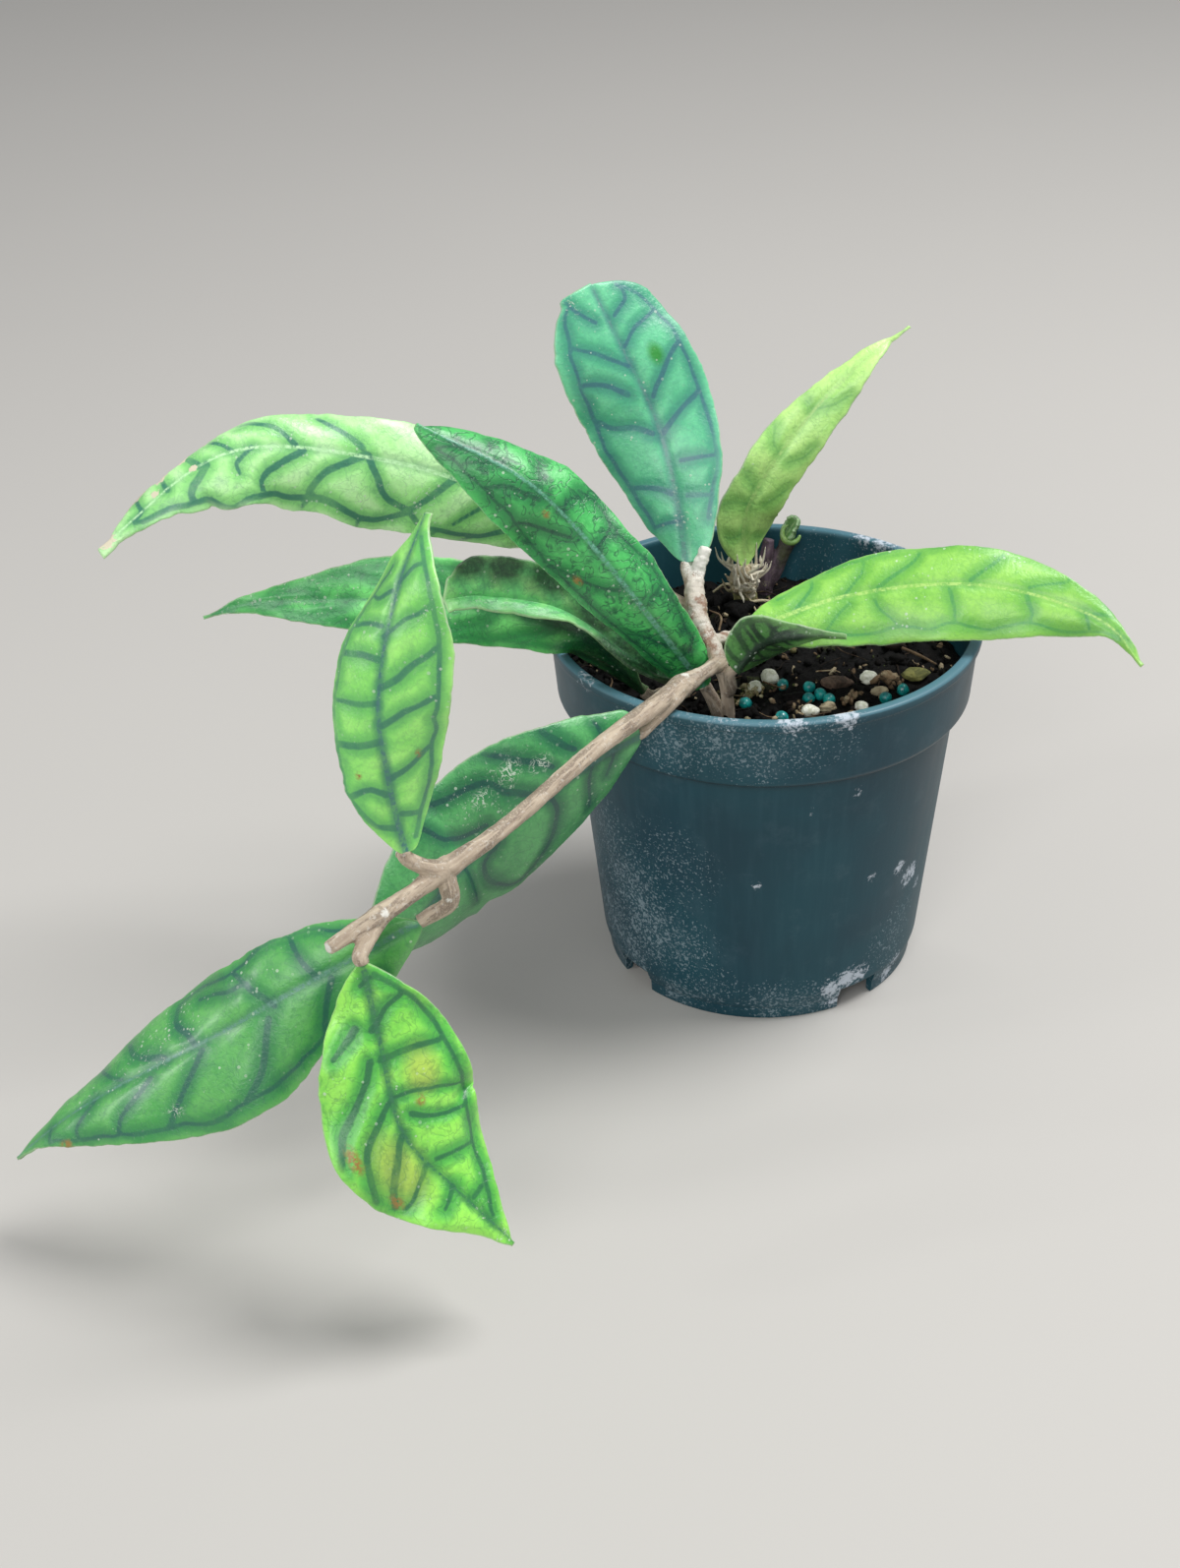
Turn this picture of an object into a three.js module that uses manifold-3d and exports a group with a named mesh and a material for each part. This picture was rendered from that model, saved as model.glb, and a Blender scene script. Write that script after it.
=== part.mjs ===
// A young Hoya callistophylla in a round nursery pot: pot, soil, shoots, a trailing vine and twelve leaves.
// Millimetres, +Z up. The origin is the middle of the pot's base, on the surface that it stands on.
// The vine trails over the rim towards -X and -Y, and most leaves turn their upper face towards -Y and up.
import * as THREE from "three";
import { mergeVertices } from "three/addons/utils/BufferGeometryUtils.js";
import Module from "manifold-3d";

const wasm = await Module();
wasm.setup();

// Pot sizes
const POT_HEIGHT = 92.4;
const RIM_RADIUS = 52.8;
const BAND_HEIGHT = 18;
const LIP_HEIGHT = 2.4;
const BAND_TOP_RADIUS = 51.8;
const BAND_FOOT_RADIUS = 50.6;
const WALL_TOP_RADIUS = 47.2;
const WALL_FOOT_RADIUS = 39.6;
const WALL = 1.5;
const FOOT_RADIUS = 39;
const FOOT_HEIGHT = 3.9;
const FOOT_WALL = 1.8;
const CENTRE_PAD_RADIUS = 12;
const FLOOR = 2;
const NOTCHES = 4;
const NOTCH_WIDTH = 11;
const NOTCH_ANGLE = -148;
const POT_SIDES = 48;

// Soil sizes
const SOIL_LEVEL = 79;
const SOIL_RISE = 1.6;
const SOIL_SIDES = 30;
const SOIL_RINGS = 6;
const SEAT_GAP = 0.3;
const HOLE_GAP = 0.4;
const SOCKET_GAP = 0.5;
const SUNK_SHARE = 0.65;
const SOIL_LUMPS = 34;
const LUMP_CLEARANCE = 3;
const LEAST_SWELL = 0.82;
const MOST_SWELL = 1.18;

// Leaf blade sizes that every leaf shares
const BLADE_ROWS = 20;
const BLADE_COLUMNS = [-1, -0.68, -0.32, 0, 0.32, 0.68, 1];
const MIDRIB_THICKNESS = 1.3;
const EDGE_THICKNESS = 0.8;
const KEEL = 0.5;
const NECK_HALF = 1.4;
const TIP_HALF = 0.6;
const PETIOLE_STRAIGHT = 1.5;

// Each leaf has its midrib from base to tip, the direction that its upper face looks in at base and at tip,
// and half its width. widest is the place of its greatest width along the midrib. A base or tip shape under 1
// is round, over 1 drawn out. leftShare is the left half's share of that width. In degrees, curl is how far
// each half bends down to its edge, and fold how far both halves rise from the midrib. wave and waves are the
// height and number of the ripples along each edge.
const LEAVES = {
  leaf_back_oval: {
    midrib: [
      [-19, -5, 110], [-21, 2.5, 125.5], [-25, 9.5, 140], [-31.5, 13, 154.5], [-39.5, 18.5, 171],
    ],
    face: [[-0.45, -0.8, 0.35], [0.4, -0.8, 0.45]],
    half: 15.5, widest: 0.7, baseShape: 0.65, tipShape: 0.35, leftShare: 1.1,
    curl: 16, fold: 4, wave: 0.6, waves: 3,
  },
  leaf_back_pointed: {
    midrib: [
      [-2, 31, 91], [-1, 30.5, 107.5], [12, 35, 126], [27.5, 40, 140], [40.5, 46.5, 147],
    ],
    face: [[0.5, -0.85, 0], [-0.3, -0.55, 0.8]],
    half: 9.5, widest: 0.2, baseShape: 1, tipShape: 1.7, leftShare: 0.75,
    curl: 14, fold: 4, wave: 0.5, waves: 4,
  },
  leaf_right_large: {
    midrib: [
      [-8, -18, 97], [18.5, -13.5, 103.5], [48.5, -18.5, 107.5], [74, -27.5, 102.5], [83.5, -36, 94],
    ],
    face: [[-0.15, -0.5, 0.85], [-0.35, -0.8, 0.45]],
    half: 14, widest: 0.4, baseShape: 0.75, tipShape: 2.95, leftShare: 0.75,
    curl: 24, fold: 2, wave: 0.7, waves: 5,
  },
  leaf_small_curled: {
    midrib: [
      [-10, -31, 95], [-4, -30.5, 101], [0.5, -33, 104], [9.5, -35, 105], [15, -35.5, 104.5],
    ],
    face: [[-0.15, 0.85, 0.5], [0.05, 0.9, -0.4]],
    half: 8, widest: 0.25, baseShape: 0.6, tipShape: 5.95, leftShare: 1.2,
    curl: -24, fold: 8, wave: 0.3, waves: 3,
  },
  leaf_front_diagonal: {
    midrib: [
      [-16.7, -25.4, 88], [-31.3, -35, 114], [-44.6, -33.5, 132.2], [-57.5, -33, 145.9],
      [-79.5, -28.5, 157.5],
    ],
    face: [[-0.15, -1, 0], [0.2, -0.6, 0.8]],
    half: 10, widest: 0.55, baseShape: 0.55, tipShape: 0.8, leftShare: 1.35,
    curl: 34, fold: -10, wave: 0.7, waves: 5,
  },
  leaf_far_left_long: {
    midrib: [
      [-39, 8, 107], [-56, -1.5, 124.5], [-88, -6, 139.5], [-123, -12.5, 145.5], [-153, -22.5, 127.5],
    ],
    face: [[0.45, -0.9, -0.1], [-0.45, -0.55, 0.7]],
    half: 10, widest: 0.5, baseShape: 0.8, tipShape: 1.25, leftShare: 1.7,
    curl: 45, fold: 1, wave: 1.3, waves: 6,
  },
  leaf_lower_left_dark: {
    midrib: [
      [-30, -17, 82], [-47.1, -17.8, 100.1], [-82.2, -11.8, 106.2], [-120, -9, 105.8],
      [-133.7, -8.3, 102.4],
    ],
    face: [[-0.85, -0.55, 0], [0.15, -0.85, 0.5]],
    half: 11, widest: 0.45, baseShape: 1, tipShape: 4.6, leftShare: 0.85,
    curl: 10, fold: 5, wave: 0.7, waves: 5,
  },
  leaf_mid_left_blunt: {
    midrib: [
      [-24, -16.3, 84.6], [-30.2, -24.9, 92.4], [-48.6, -24.3, 108.2], [-66.4, -27, 114.3],
      [-75.9, -32.6, 116.8],
    ],
    face: [[0.2, -0.4, 0.9], [-0.05, -0.85, 0.5]],
    half: 9.5, widest: 0.7, baseShape: 1.75, tipShape: 0.3, leftShare: 0.45,
    curl: 8, fold: 32, wave: 0.6, waves: 3,
  },
  leaf_vine_upright: {
    midrib: [
      [-84, -105, 97], [-86, -105.5, 114], [-86.5, -104.5, 132], [-81.5, -99, 153], [-75.5, -91.5, 165.5],
    ],
    face: [[0.35, -0.9, 0.15], [-0.8, -0.3, 0.55]],
    half: 14.5, widest: 0.6, baseShape: 0.7, tipShape: 1.5, leftShare: 0.75,
    curl: 32, fold: 3, wave: 0.6, waves: 4,
  },
  leaf_vine_under: {
    midrib: [
      [-33.5, -49.5, 89.5], [-49, -59.5, 85], [-70.5, -69.5, 72.5], [-76.5, -75.5, 70], [-95.5, -88, 55.5],
    ],
    face: [[0.5, -0.85, 0], [0.6, -0.8, -0.15]],
    half: 21, widest: 0.65, baseShape: 0.7, tipShape: 0.9, leftShare: 1.35,
    curl: 46, fold: 3, wave: 0.6, waves: 4,
  },
  leaf_vine_left: {
    midrib: [
      [-82, -104, 79], [-111, -110.5, 66], [-127, -110.5, 56], [-156, -107, 37], [-173.5, -105.5, 22],
    ],
    face: [[0.35, -0.85, 0.4], [-0.65, -0.15, 0.75]],
    half: 15, widest: 0.5, baseShape: 0.75, tipShape: 2.2, leftShare: 1.3,
    curl: 42, fold: 3, wave: 0.7, waves: 5,
  },
  leaf_vine_hanging: {
    midrib: [
      [-93, -122, 82], [-90.5, -127.5, 66.5], [-87, -134.5, 48.5], [-77, -137, 35], [-65.5, -140, 22],
    ],
    face: [[0.1, -1, 0.05], [0.6, -0.6, 0.55]],
    half: 15, widest: 0.5, baseShape: 0.95, tipShape: 1.5, leftShare: 1.25,
    curl: 26, fold: 5, wave: 1.6, waves: 4,
  },
};

// Stems and petioles as limbs: the points along each, and radii spread evenly from its start to its end.
// A petiole that leads to a leaf ends just short of that leaf's base.
const VINE_LIMBS = [
  {
    points: [[-10.5, -25, 62], [-10.8, -25.5, 80], [-12, -27, 90], [-13.4, -27.8, 95]],
    radii: [1.8, 1.5, 1.5, 1.9],
  },
  {
    points: [
      [-13.4, -27.8, 95], [-18, -33.6, 95.4], [-22.9, -39.3, 95.7], [-27.4, -45.3, 95.8],
      [-44.9, -66.7, 95.2], [-64.2, -92, 93], [-76.8, -102.2, 90], [-83, -107.4, 88.2],
      [-89.3, -112.8, 87], [-99.4, -122.2, 86],
    ],
    radii: [1.9, 1.7, 2.8, 2.4, 1.9, 1.8, 2.3, 1.8, 2.2, 1.5],
  },
  {
    points: [
      [-13.4, -27.8, 95], [-14.8, -23.8, 98.6], [-16.6, -20.8, 100.4], [-17.3, -17, 102.9],
      [-17.8, -12, 106.1], [-16.8, -9, 109], [-14.6, -7, 114.5],
    ],
    radii: [2.1, 1.8, 1.9, 2.1, 2.4, 1.9, 1.4],
  },
  { points: [[-17.8, -12, 106.1], [-18.3, -8.5, 108]], radii: [2.1, 1.9, 1.5], to: "leaf_back_oval" },
  { points: [[-14.8, -23.4, 98.6], [-12, -20.5, 97.6]], radii: [1.6, 1.5, 1.5], to: "leaf_right_large" },
  {
    points: [[-17.3, -17, 102.7], [-23, -8, 102.5], [-31, 1.5, 104.5]],
    radii: [1.7, 1.5, 1.5, 1.5],
    to: "leaf_far_left_long",
  },
  { points: [[-11.2, -26, 86], [-10.6, -28.6, 89]], radii: [1.5, 1.4, 1.3], to: "leaf_small_curled" },
  { points: [[-11.6, -24.6, 64], [-12.8, -24.3, 78]], radii: [1.8, 1.6, 1.5], to: "leaf_front_diagonal" },
  { points: [[-22.6, -40, 95], [-25.4, -45.2, 94.9]], radii: [1.6, 1.4, 1.4], to: "leaf_vine_under" },
  { points: [[-76.8, -102.2, 90], [-80, -104.2, 92.2]], radii: [2, 1.7, 1.4], to: "leaf_vine_upright" },
  { points: [[-82.4, -104.8, 94.6], [-85.6, -103.6, 95.8]], radii: [1.2, 1] },
  {
    points: [[-76.8, -102.2, 90], [-75.6, -103, 86], [-75.9, -103.3, 82.4]],
    radii: [2, 1.9, 1.7, 1.5],
    to: "leaf_vine_left",
  },
  { points: [[-89.3, -112.8, 87], [-91, -115.2, 84.8]], radii: [2, 1.7, 1.5], to: "leaf_vine_hanging" },
];
const LEFT_SHOOT_LIMBS = [
  { points: [[-25.5, -14.5, 60], [-26, -15, 80.4]], radii: [2, 2.4] },
  { points: [[-26, -15, 79.8], [-27.4, -16.6, 80.4]], radii: [2, 1.7, 1.5], to: "leaf_lower_left_dark" },
  { points: [[-26, -15, 79.8], [-24, -16, 81.4]], radii: [2, 1.7, 1.5], to: "leaf_mid_left_blunt" },
];
const BACK_SHOOT_LIMBS = [
  {
    points: [[-0.8, 35, 60], [-1, 34.5, 79], [-2.2, 33, 85]],
    radii: [2.4, 2.7, 2.4, 1.8],
    to: "leaf_back_pointed",
  },
];
const CUT_PETIOLE_LIMBS = [
  {
    points: [[4.5, 41, 62], [4.5, 41.6, 79.7], [5.5, 42.6, 86], [6.9, 43.8, 92.3]],
    radii: [2, 2.6, 2, 1.9],
  },
  { points: [[5, 41.6, 79.5], [7.2, 42.2, 83.6], [10.6, 43.6, 91.5]], radii: [1.9, 1.7, 1.9] },
];

// The torn base of a leaf that was cut away, left on the taller cut petiole
const CUT_REMNANT = {
  midrib: [[10.8, 43.6, 92], [11.4, 43.6, 93.5], [12.2, 43.6, 95], [13, 43.2, 96.4], [13.6, 42.6, 97.6]],
  face: [[-0.5, -0.6, 0.6], [-0.6, -0.6, 0.5]],
  half: 3.2, widest: 0.55, baseShape: 0.5, tipShape: 0.4, leftShare: 1,
  curl: -70, fold: 0, wave: 0.4, waves: 2,
};

const REMNANT_ROWS = 6;

// Dried aerial roots: a low ring round the back shoot, and a crown above it that points to the front
const LOW_ROOTS = 8;
const CROWN_ROOTS = 8;
const CROWN_TURN = 2.6;
const DRIED_ROOT_RADIUS = 0.55;

// Loose things on the soil: place, and radius along X, Y and Z
const FERTILISER_BEADS = [
  [3.5, -12.5], [9.7, -14], [8.9, -18.8], [12, -17], [13.6, -20.8],
  [-6.3, -20.6], [1.6, -27.2], [27.2, -20.4], [31.8, -17],
];
const BEAD_RADIUS = 1.5;
const PERLITE = [
  { at: [0.8, -8.3], radii: [2.1, 2.1, 2.1] },
  { at: [-3.2, -13.6], radii: [1.7, 2, 1.5] },
  { at: [24.4, -10.6], radii: [2.2, 1.8, 1.6] },
  { at: [21, -23.4], radii: [1.7, 1.5, 1.4] },
  { at: [8.4, -26.4], radii: [2.2, 1.5, 1.4] },
];
const BARK_CHIPS = [
  { at: [16.6, -12.4], radii: [4, 2.4, 1.5] },
  { at: [21, 37.5], radii: [4.6, 3.2, 2] },
  { at: [36.5, -9], radii: [3.6, 2.6, 1.2] },
];

const COLOURS = {
  pot: [0x1f3d3f, 0.5],
  soil: [0x2a1d14, 0.95],
  bark: [0x8a6a4c, 0.8],
  purple: [0x4f3a44, 0.7],
  root: [0xb9a78c, 0.85],
  bead: [0x0f9a95, 0.45],
  perlite: [0xd8d6c2, 0.9],
  chip: [0x6d5240, 0.9],
  paleLeaf: [0x8fd04a, 0.4],
  leaf: [0x4fae4a, 0.4],
  darkLeaf: [0x2c7a3c, 0.42],
  blueLeaf: [0x5aae7a, 0.4],
};

const part = new THREE.Group();

function addMesh(name, geometry, [colour, roughness]) {
  geometry.computeVertexNormals();
  const material = new THREE.MeshStandardMaterial({ color: colour, roughness, metalness: 0 });
  const mesh = new THREE.Mesh(geometry, material);
  mesh.name = name;
  part.add(mesh);
}

// Draws that are the same in every run
function seededDraws(seed) {
  let state = seed;
  return () => {
    state = (state * 16807) % 2147483647;
    return state / 2147483647;
  };
}

// Closed solids for joining and cutting
function toSolid(geometry) {
  const bare = geometry.clone();
  for (const name of ["normal", "uv"]) bare.deleteAttribute(name);
  const merged = mergeVertices(bare, 1e-4);
  const corners = merged.index.array;
  const kept = [];
  for (let i = 0; i < corners.length; i += 3) {
    const [a, b, c] = [corners[i], corners[i + 1], corners[i + 2]];
    if (a !== b && b !== c && c !== a) kept.push(a, b, c);
  }
  return new wasm.Manifold(
    new wasm.Mesh({
      numProp: 3,
      vertProperties: merged.attributes.position.array,
      triVerts: new Uint32Array(kept),
    }),
  );
}

function fromSolid(solid) {
  const { vertProperties, triVerts } = solid.getMesh();
  const geometry = new THREE.BufferGeometry();
  geometry.setAttribute("position", new THREE.BufferAttribute(vertProperties, 3));
  geometry.setIndex(new THREE.BufferAttribute(triVerts, 1));
  return geometry;
}

function smoothCurve(points) {
  const places = points.map((point) => new THREE.Vector3(...point));
  return new THREE.CatmullRomCurve3(places, false, "catmullrom", 0.5);
}

// A tapered round limb with flat ends: a turned profile, bent along a curve
function limb(points, radii, { sides = 8, step = 4.5, extra = 0 } = {}) {
  const curve = smoothCurve(points);
  const length = curve.getLength();
  const steps = Math.max(2, Math.ceil(length / step));
  const frames = curve.computeFrenetFrames(steps, false);
  const profile = [new THREE.Vector2(0, 0)];
  for (let k = 0; k <= steps; k++) {
    const place = curve.getUtoTmapping(k / steps) * (radii.length - 1);
    const before = Math.min(Math.floor(place), radii.length - 2);
    const radius = THREE.MathUtils.lerp(radii[before], radii[before + 1], place - before);
    profile.push(new THREE.Vector2(radius + extra, k));
  }
  profile.push(new THREE.Vector2(0, steps));
  const geometry = new THREE.LatheGeometry(profile, sides);
  const place = geometry.attributes.position;
  for (let i = 0; i < place.count; i++) {
    const k = Math.round(place.getY(i));
    const point = curve.getPointAt(k / steps);
    point.addScaledVector(frames.normals[k], place.getX(i));
    point.addScaledVector(frames.binormals[k], -place.getZ(i));
    place.setXYZ(i, point.x, point.y, point.z);
  }
  return toSolid(geometry);
}

// Half the blade's width at a place along the midrib
function halfWidth(leaf, along, side) {
  const beforeWidest = along < leaf.widest;
  const reach = beforeWidest ? 1 - along / leaf.widest : (along - leaf.widest) / (1 - leaf.widest);
  const outline = Math.max(0, 1 - reach ** 2) ** (beforeWidest ? leaf.baseShape : leaf.tipShape);
  const least = THREE.MathUtils.lerp(NECK_HALF, TIP_HALF, along);
  const full = side < 0 ? leaf.half * leaf.leftShare : leaf.half;
  return least + Math.max(0, full - least) * outline;
}

// A point of the blade: along goes from 0 at the base to 1 at the tip, across from -1 at the left edge to 1
// at the right edge, and lift away from the middle surface. Each half is an arc that bends down to its edge.
function bladePoint(leaf, curve, along, across, lift) {
  const middle = curve.getPoint(along);
  const ahead = curve.getTangent(along);
  const up = new THREE.Vector3(...leaf.face[0]).lerp(new THREE.Vector3(...leaf.face[1]), along);
  up.addScaledVector(ahead, -up.dot(ahead)).normalize();
  const right = new THREE.Vector3().crossVectors(ahead, up);
  const side = Math.sign(across);
  const out = Math.abs(across);
  const half = halfWidth(leaf, along, side);
  const curl = THREE.MathUtils.degToRad(leaf.curl);
  const fold = THREE.MathUtils.degToRad(leaf.fold);
  const turn = curl * out;
  const reach = (half * Math.sin(turn)) / curl;
  const drop = (half * (1 - Math.cos(turn))) / curl;
  const sideways = reach * Math.cos(fold) + drop * Math.sin(fold);
  const swell = Math.sqrt(Math.max(0, Math.sin(Math.PI * along)));
  const ripple = leaf.wave * swell * out ** 2 * Math.sin(2 * Math.PI * leaf.waves * along + side);
  const height = reach * Math.sin(fold) - drop * Math.cos(fold) + ripple;
  middle.addScaledVector(right, side * (sideways - lift * Math.sin(fold - turn)));
  return middle.addScaledVector(up, height + lift * Math.cos(fold - turn));
}

// A blade closed all round. Both faces are split into triangles alike, so that they never meet.
function bladeGeometry(leaf, rows = BLADE_ROWS) {
  const curve = smoothCurve(leaf.midrib);
  const columns = BLADE_COLUMNS.length;
  const positions = [];
  for (const face of [1, -1]) {
    for (let row = 0; row <= rows; row++) {
      const even = row / rows;
      const along = (even + (1 - Math.cos(Math.PI * even)) / 2) / 2;
      for (const across of BLADE_COLUMNS) {
        const thickness = THREE.MathUtils.lerp(MIDRIB_THICKNESS, EDGE_THICKNESS, Math.abs(across));
        const keel = across === 0 && face < 0 ? KEEL : 0;
        positions.push(...bladePoint(leaf, curve, along, across, face * (thickness / 2 + keel)).toArray());
      }
    }
  }
  const bottom = (rows + 1) * columns;
  const index = [];
  const quad = (a, b, c, d) => index.push(a, b, c, a, c, d);
  for (let row = 0; row < rows; row++) {
    for (let column = 0; column < columns - 1; column++) {
      const a = row * columns + column;
      const corners = [a, a + 1, a + columns + 1, a + columns];
      if (BLADE_COLUMNS[column] < 0) corners.push(corners.shift());
      const [p, q, r, s] = corners;
      quad(p, q, r, s);
      index.push(bottom + p, bottom + r, bottom + q, bottom + p, bottom + s, bottom + r);
    }
  }
  for (let row = 0; row < rows; row++) {
    const left = row * columns;
    const right = left + columns - 1;
    quad(left, left + columns, bottom + left + columns, bottom + left);
    quad(right, bottom + right, bottom + right + columns, right + columns);
  }
  for (let column = 0; column < columns - 1; column++) {
    const tip = rows * columns + column;
    quad(column, bottom + column, bottom + column + 1, column + 1);
    quad(tip, tip + 1, bottom + tip + 1, bottom + tip);
  }
  const geometry = new THREE.BufferGeometry();
  geometry.setAttribute("position", new THREE.BufferAttribute(new Float32Array(positions), 3));
  geometry.setIndex(index);
  return geometry;
}

// A petiole's points, the last stretch in line with the leaf's midrib and ending just short of the leaf
function petiolePath({ points, to }) {
  if (!to) return points;
  const curve = smoothCurve(LEAVES[to].midrib);
  const ahead = curve.getTangent(0);
  const end = curve.getPoint(0).addScaledVector(ahead, -SEAT_GAP);
  const before = end.clone().addScaledVector(ahead, -PETIOLE_STRAIGHT);
  return [...points, before.toArray(), end.toArray()];
}

function joinLimbs(limbs, options) {
  const solids = limbs.map((one) => limb(petiolePath(one), one.radii, options));
  return solids.reduce((all, next) => all.add(next));
}

// The hole that a rooted limb stands in: its own shape, a gap larger all round and at its ends
function limbHole(one) {
  const path = petiolePath(one).map((point) => new THREE.Vector3(...point));
  const stretch = (end, next) => end.add(end.clone().sub(next).setLength(HOLE_GAP));
  stretch(path[0], path[1]);
  stretch(path.at(-1), path.at(-2));
  return limb(path.map((point) => point.toArray()), one.radii, { extra: HOLE_GAP });
}

function makePot() {
  const wallFoot = FOOT_HEIGHT + FLOOR;
  const bandFoot = POT_HEIGHT - BAND_HEIGHT;
  const profile = [
    [0, 0],
    [CENTRE_PAD_RADIUS, 0],
    [CENTRE_PAD_RADIUS + 1, FOOT_HEIGHT],
    [FOOT_RADIUS - FOOT_WALL, FOOT_HEIGHT],
    [FOOT_RADIUS - FOOT_WALL, 0],
    [FOOT_RADIUS, 0],
    [FOOT_RADIUS + 0.2, FOOT_HEIGHT - 0.6],
    [WALL_FOOT_RADIUS, FOOT_HEIGHT],
    [WALL_FOOT_RADIUS + 0.9, FOOT_HEIGHT + 3],
    [WALL_TOP_RADIUS, bandFoot - 1.2],
    [BAND_FOOT_RADIUS - 0.8, bandFoot - 0.4],
    [BAND_FOOT_RADIUS, bandFoot + 0.8],
    [BAND_TOP_RADIUS, POT_HEIGHT - LIP_HEIGHT - 0.5],
    [RIM_RADIUS - 0.1, POT_HEIGHT - LIP_HEIGHT],
    [RIM_RADIUS, POT_HEIGHT - 0.5],
    [RIM_RADIUS - 0.5, POT_HEIGHT],
    [BAND_TOP_RADIUS - WALL, POT_HEIGHT],
    [BAND_TOP_RADIUS - WALL - 0.4, POT_HEIGHT - 1],
    [BAND_FOOT_RADIUS - WALL, bandFoot + 1.6],
    [WALL_TOP_RADIUS - WALL, bandFoot - 0.6],
    [WALL_FOOT_RADIUS - WALL + 0.9, wallFoot + 2],
    [WALL_FOOT_RADIUS - WALL, wallFoot],
    [0, wallFoot],
  ];
  const lathe = new THREE.LatheGeometry(profile.map(([x, y]) => new THREE.Vector2(x, y)), POT_SIDES);
  lathe.rotateX(Math.PI / 2);
  let pot = toSolid(lathe);
  for (let k = 0; k < NOTCHES; k++) {
    const notch = new THREE.BoxGeometry(11, NOTCH_WIDTH, 2 * (wallFoot + 0.4));
    notch.translate(FOOT_RADIUS, 0, 0);
    notch.rotateZ(THREE.MathUtils.degToRad(NOTCH_ANGLE) + (2 * Math.PI * k) / NOTCHES);
    pot = pot.subtract(toSolid(notch));
  }
  return pot;
}

// The soil's top: a low mound with uneven crumbs
function soilHeight(x, y) {
  const mound = SOIL_RISE * Math.cos((Math.hypot(x, y) / WALL_TOP_RADIUS) * (Math.PI / 2));
  const crumbs = Math.sin(x * 0.41 + 1) * Math.cos(y * 0.37) + 0.5 * Math.sin(x * 0.93 - y * 0.71);
  return SOIL_LEVEL + mound - SOIL_RISE / 2 + 0.6 * crumbs;
}

// An uneven pebble, by three radii and with corners drawn in and out at random
function stone(at, radii, detail, draw) {
  const ball = new THREE.IcosahedronGeometry(1, detail);
  for (const name of ["normal", "uv"]) ball.deleteAttribute(name);
  const geometry = mergeVertices(ball, 1e-4);
  const place = geometry.attributes.position;
  for (let i = 0; i < place.count; i++) {
    const swell = LEAST_SWELL + (MOST_SWELL - LEAST_SWELL) * draw();
    const corner = new THREE.Vector3().fromBufferAttribute(place, i).multiplyScalar(swell);
    place.setXYZ(i, corner.x * radii[0], corner.y * radii[1], corner.z * radii[2]);
  }
  geometry.translate(...at);
  return geometry;
}

function makeSoil(holes, taken) {
  const wallFoot = FOOT_HEIGHT + FLOOR + SEAT_GAP;
  const bandFoot = POT_HEIGHT - BAND_HEIGHT;
  const gap = WALL + HOLE_GAP;
  const edge = BAND_FOOT_RADIUS - gap;
  const profile = [
    [0, wallFoot],
    [WALL_FOOT_RADIUS - gap, wallFoot],
    [WALL_FOOT_RADIUS - gap + 0.9, wallFoot + 2],
    [WALL_TOP_RADIUS - gap, bandFoot - 0.4],
    [edge, bandFoot + 1.9],
  ];
  for (let ring = 0; ring <= SOIL_RINGS; ring++) {
    profile.push([edge * (1 - ring / SOIL_RINGS), SOIL_LEVEL]);
  }
  const lathe = new THREE.LatheGeometry(profile.map(([x, y]) => new THREE.Vector2(x, y)), SOIL_SIDES);
  lathe.rotateX(Math.PI / 2);
  const place = lathe.attributes.position;
  for (let i = 0; i < place.count; i++) {
    if (place.getZ(i) > SOIL_LEVEL - 0.01) place.setZ(i, soilHeight(place.getX(i), place.getY(i)));
  }
  let soil = toSolid(lathe);
  const draw = seededDraws(41);
  for (let k = 0; k < SOIL_LUMPS; k++) {
    const angle = 2 * Math.PI * draw();
    const radius = (edge - 4.5) * Math.sqrt(draw());
    const [x, y] = [radius * Math.cos(angle), radius * Math.sin(angle)];
    const size = 1.6 + 1.8 * draw();
    const lump = stone([x, y, soilHeight(x, y)], [size * 1.3, size, size * 0.7], 0, draw);
    const isClear = ([px, py]) => Math.hypot(x - px, y - py) > size * 1.5 + LUMP_CLEARANCE;
    if (taken.every(isClear)) soil = soil.add(toSolid(lump));
  }
  for (const hole of holes) soil = soil.subtract(hole);
  return soil;
}

function driedRoots() {
  const draw = seededDraws(7);
  const roots = [];
  for (let k = 0; k < LOW_ROOTS + CROWN_ROOTS; k++) {
    const isLow = k < LOW_ROOTS;
    const round = (2 * Math.PI * (k + 0.6 * draw())) / LOW_ROOTS;
    const front = -Math.PI / 2 + CROWN_TURN * ((k - LOW_ROOTS + draw()) / CROWN_ROOTS - 0.5);
    const angle = isLow ? round : front;
    const start = [-1.8, 33.4, (isLow ? 80.5 : 84) + 3.5 * draw()];
    const reach = 3.6 + 2.6 * draw();
    const rise = isLow ? 1 + 3 * draw() : 2.5 + 3 * draw();
    const [c, s] = [Math.cos(angle), Math.sin(angle)];
    const middle = [start[0] + 0.6 * reach * c, start[1] + 0.6 * reach * s, start[2] + 0.25 * rise];
    const end = [start[0] + reach * c, start[1] + reach * s, start[2] + rise];
    roots.push({ points: [start, middle, end], radii: [DRIED_ROOT_RADIUS, DRIED_ROOT_RADIUS, 0.35] });
  }
  return roots;
}

function colourOf(name) {
  if (name === "leaf_right_large" || name === "leaf_back_pointed") return COLOURS.paleLeaf;
  if (name === "leaf_back_oval") return COLOURS.blueLeaf;
  if (/front|lower|curled|blunt/.test(name)) return COLOURS.darkLeaf;
  return COLOURS.leaf;
}

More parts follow.
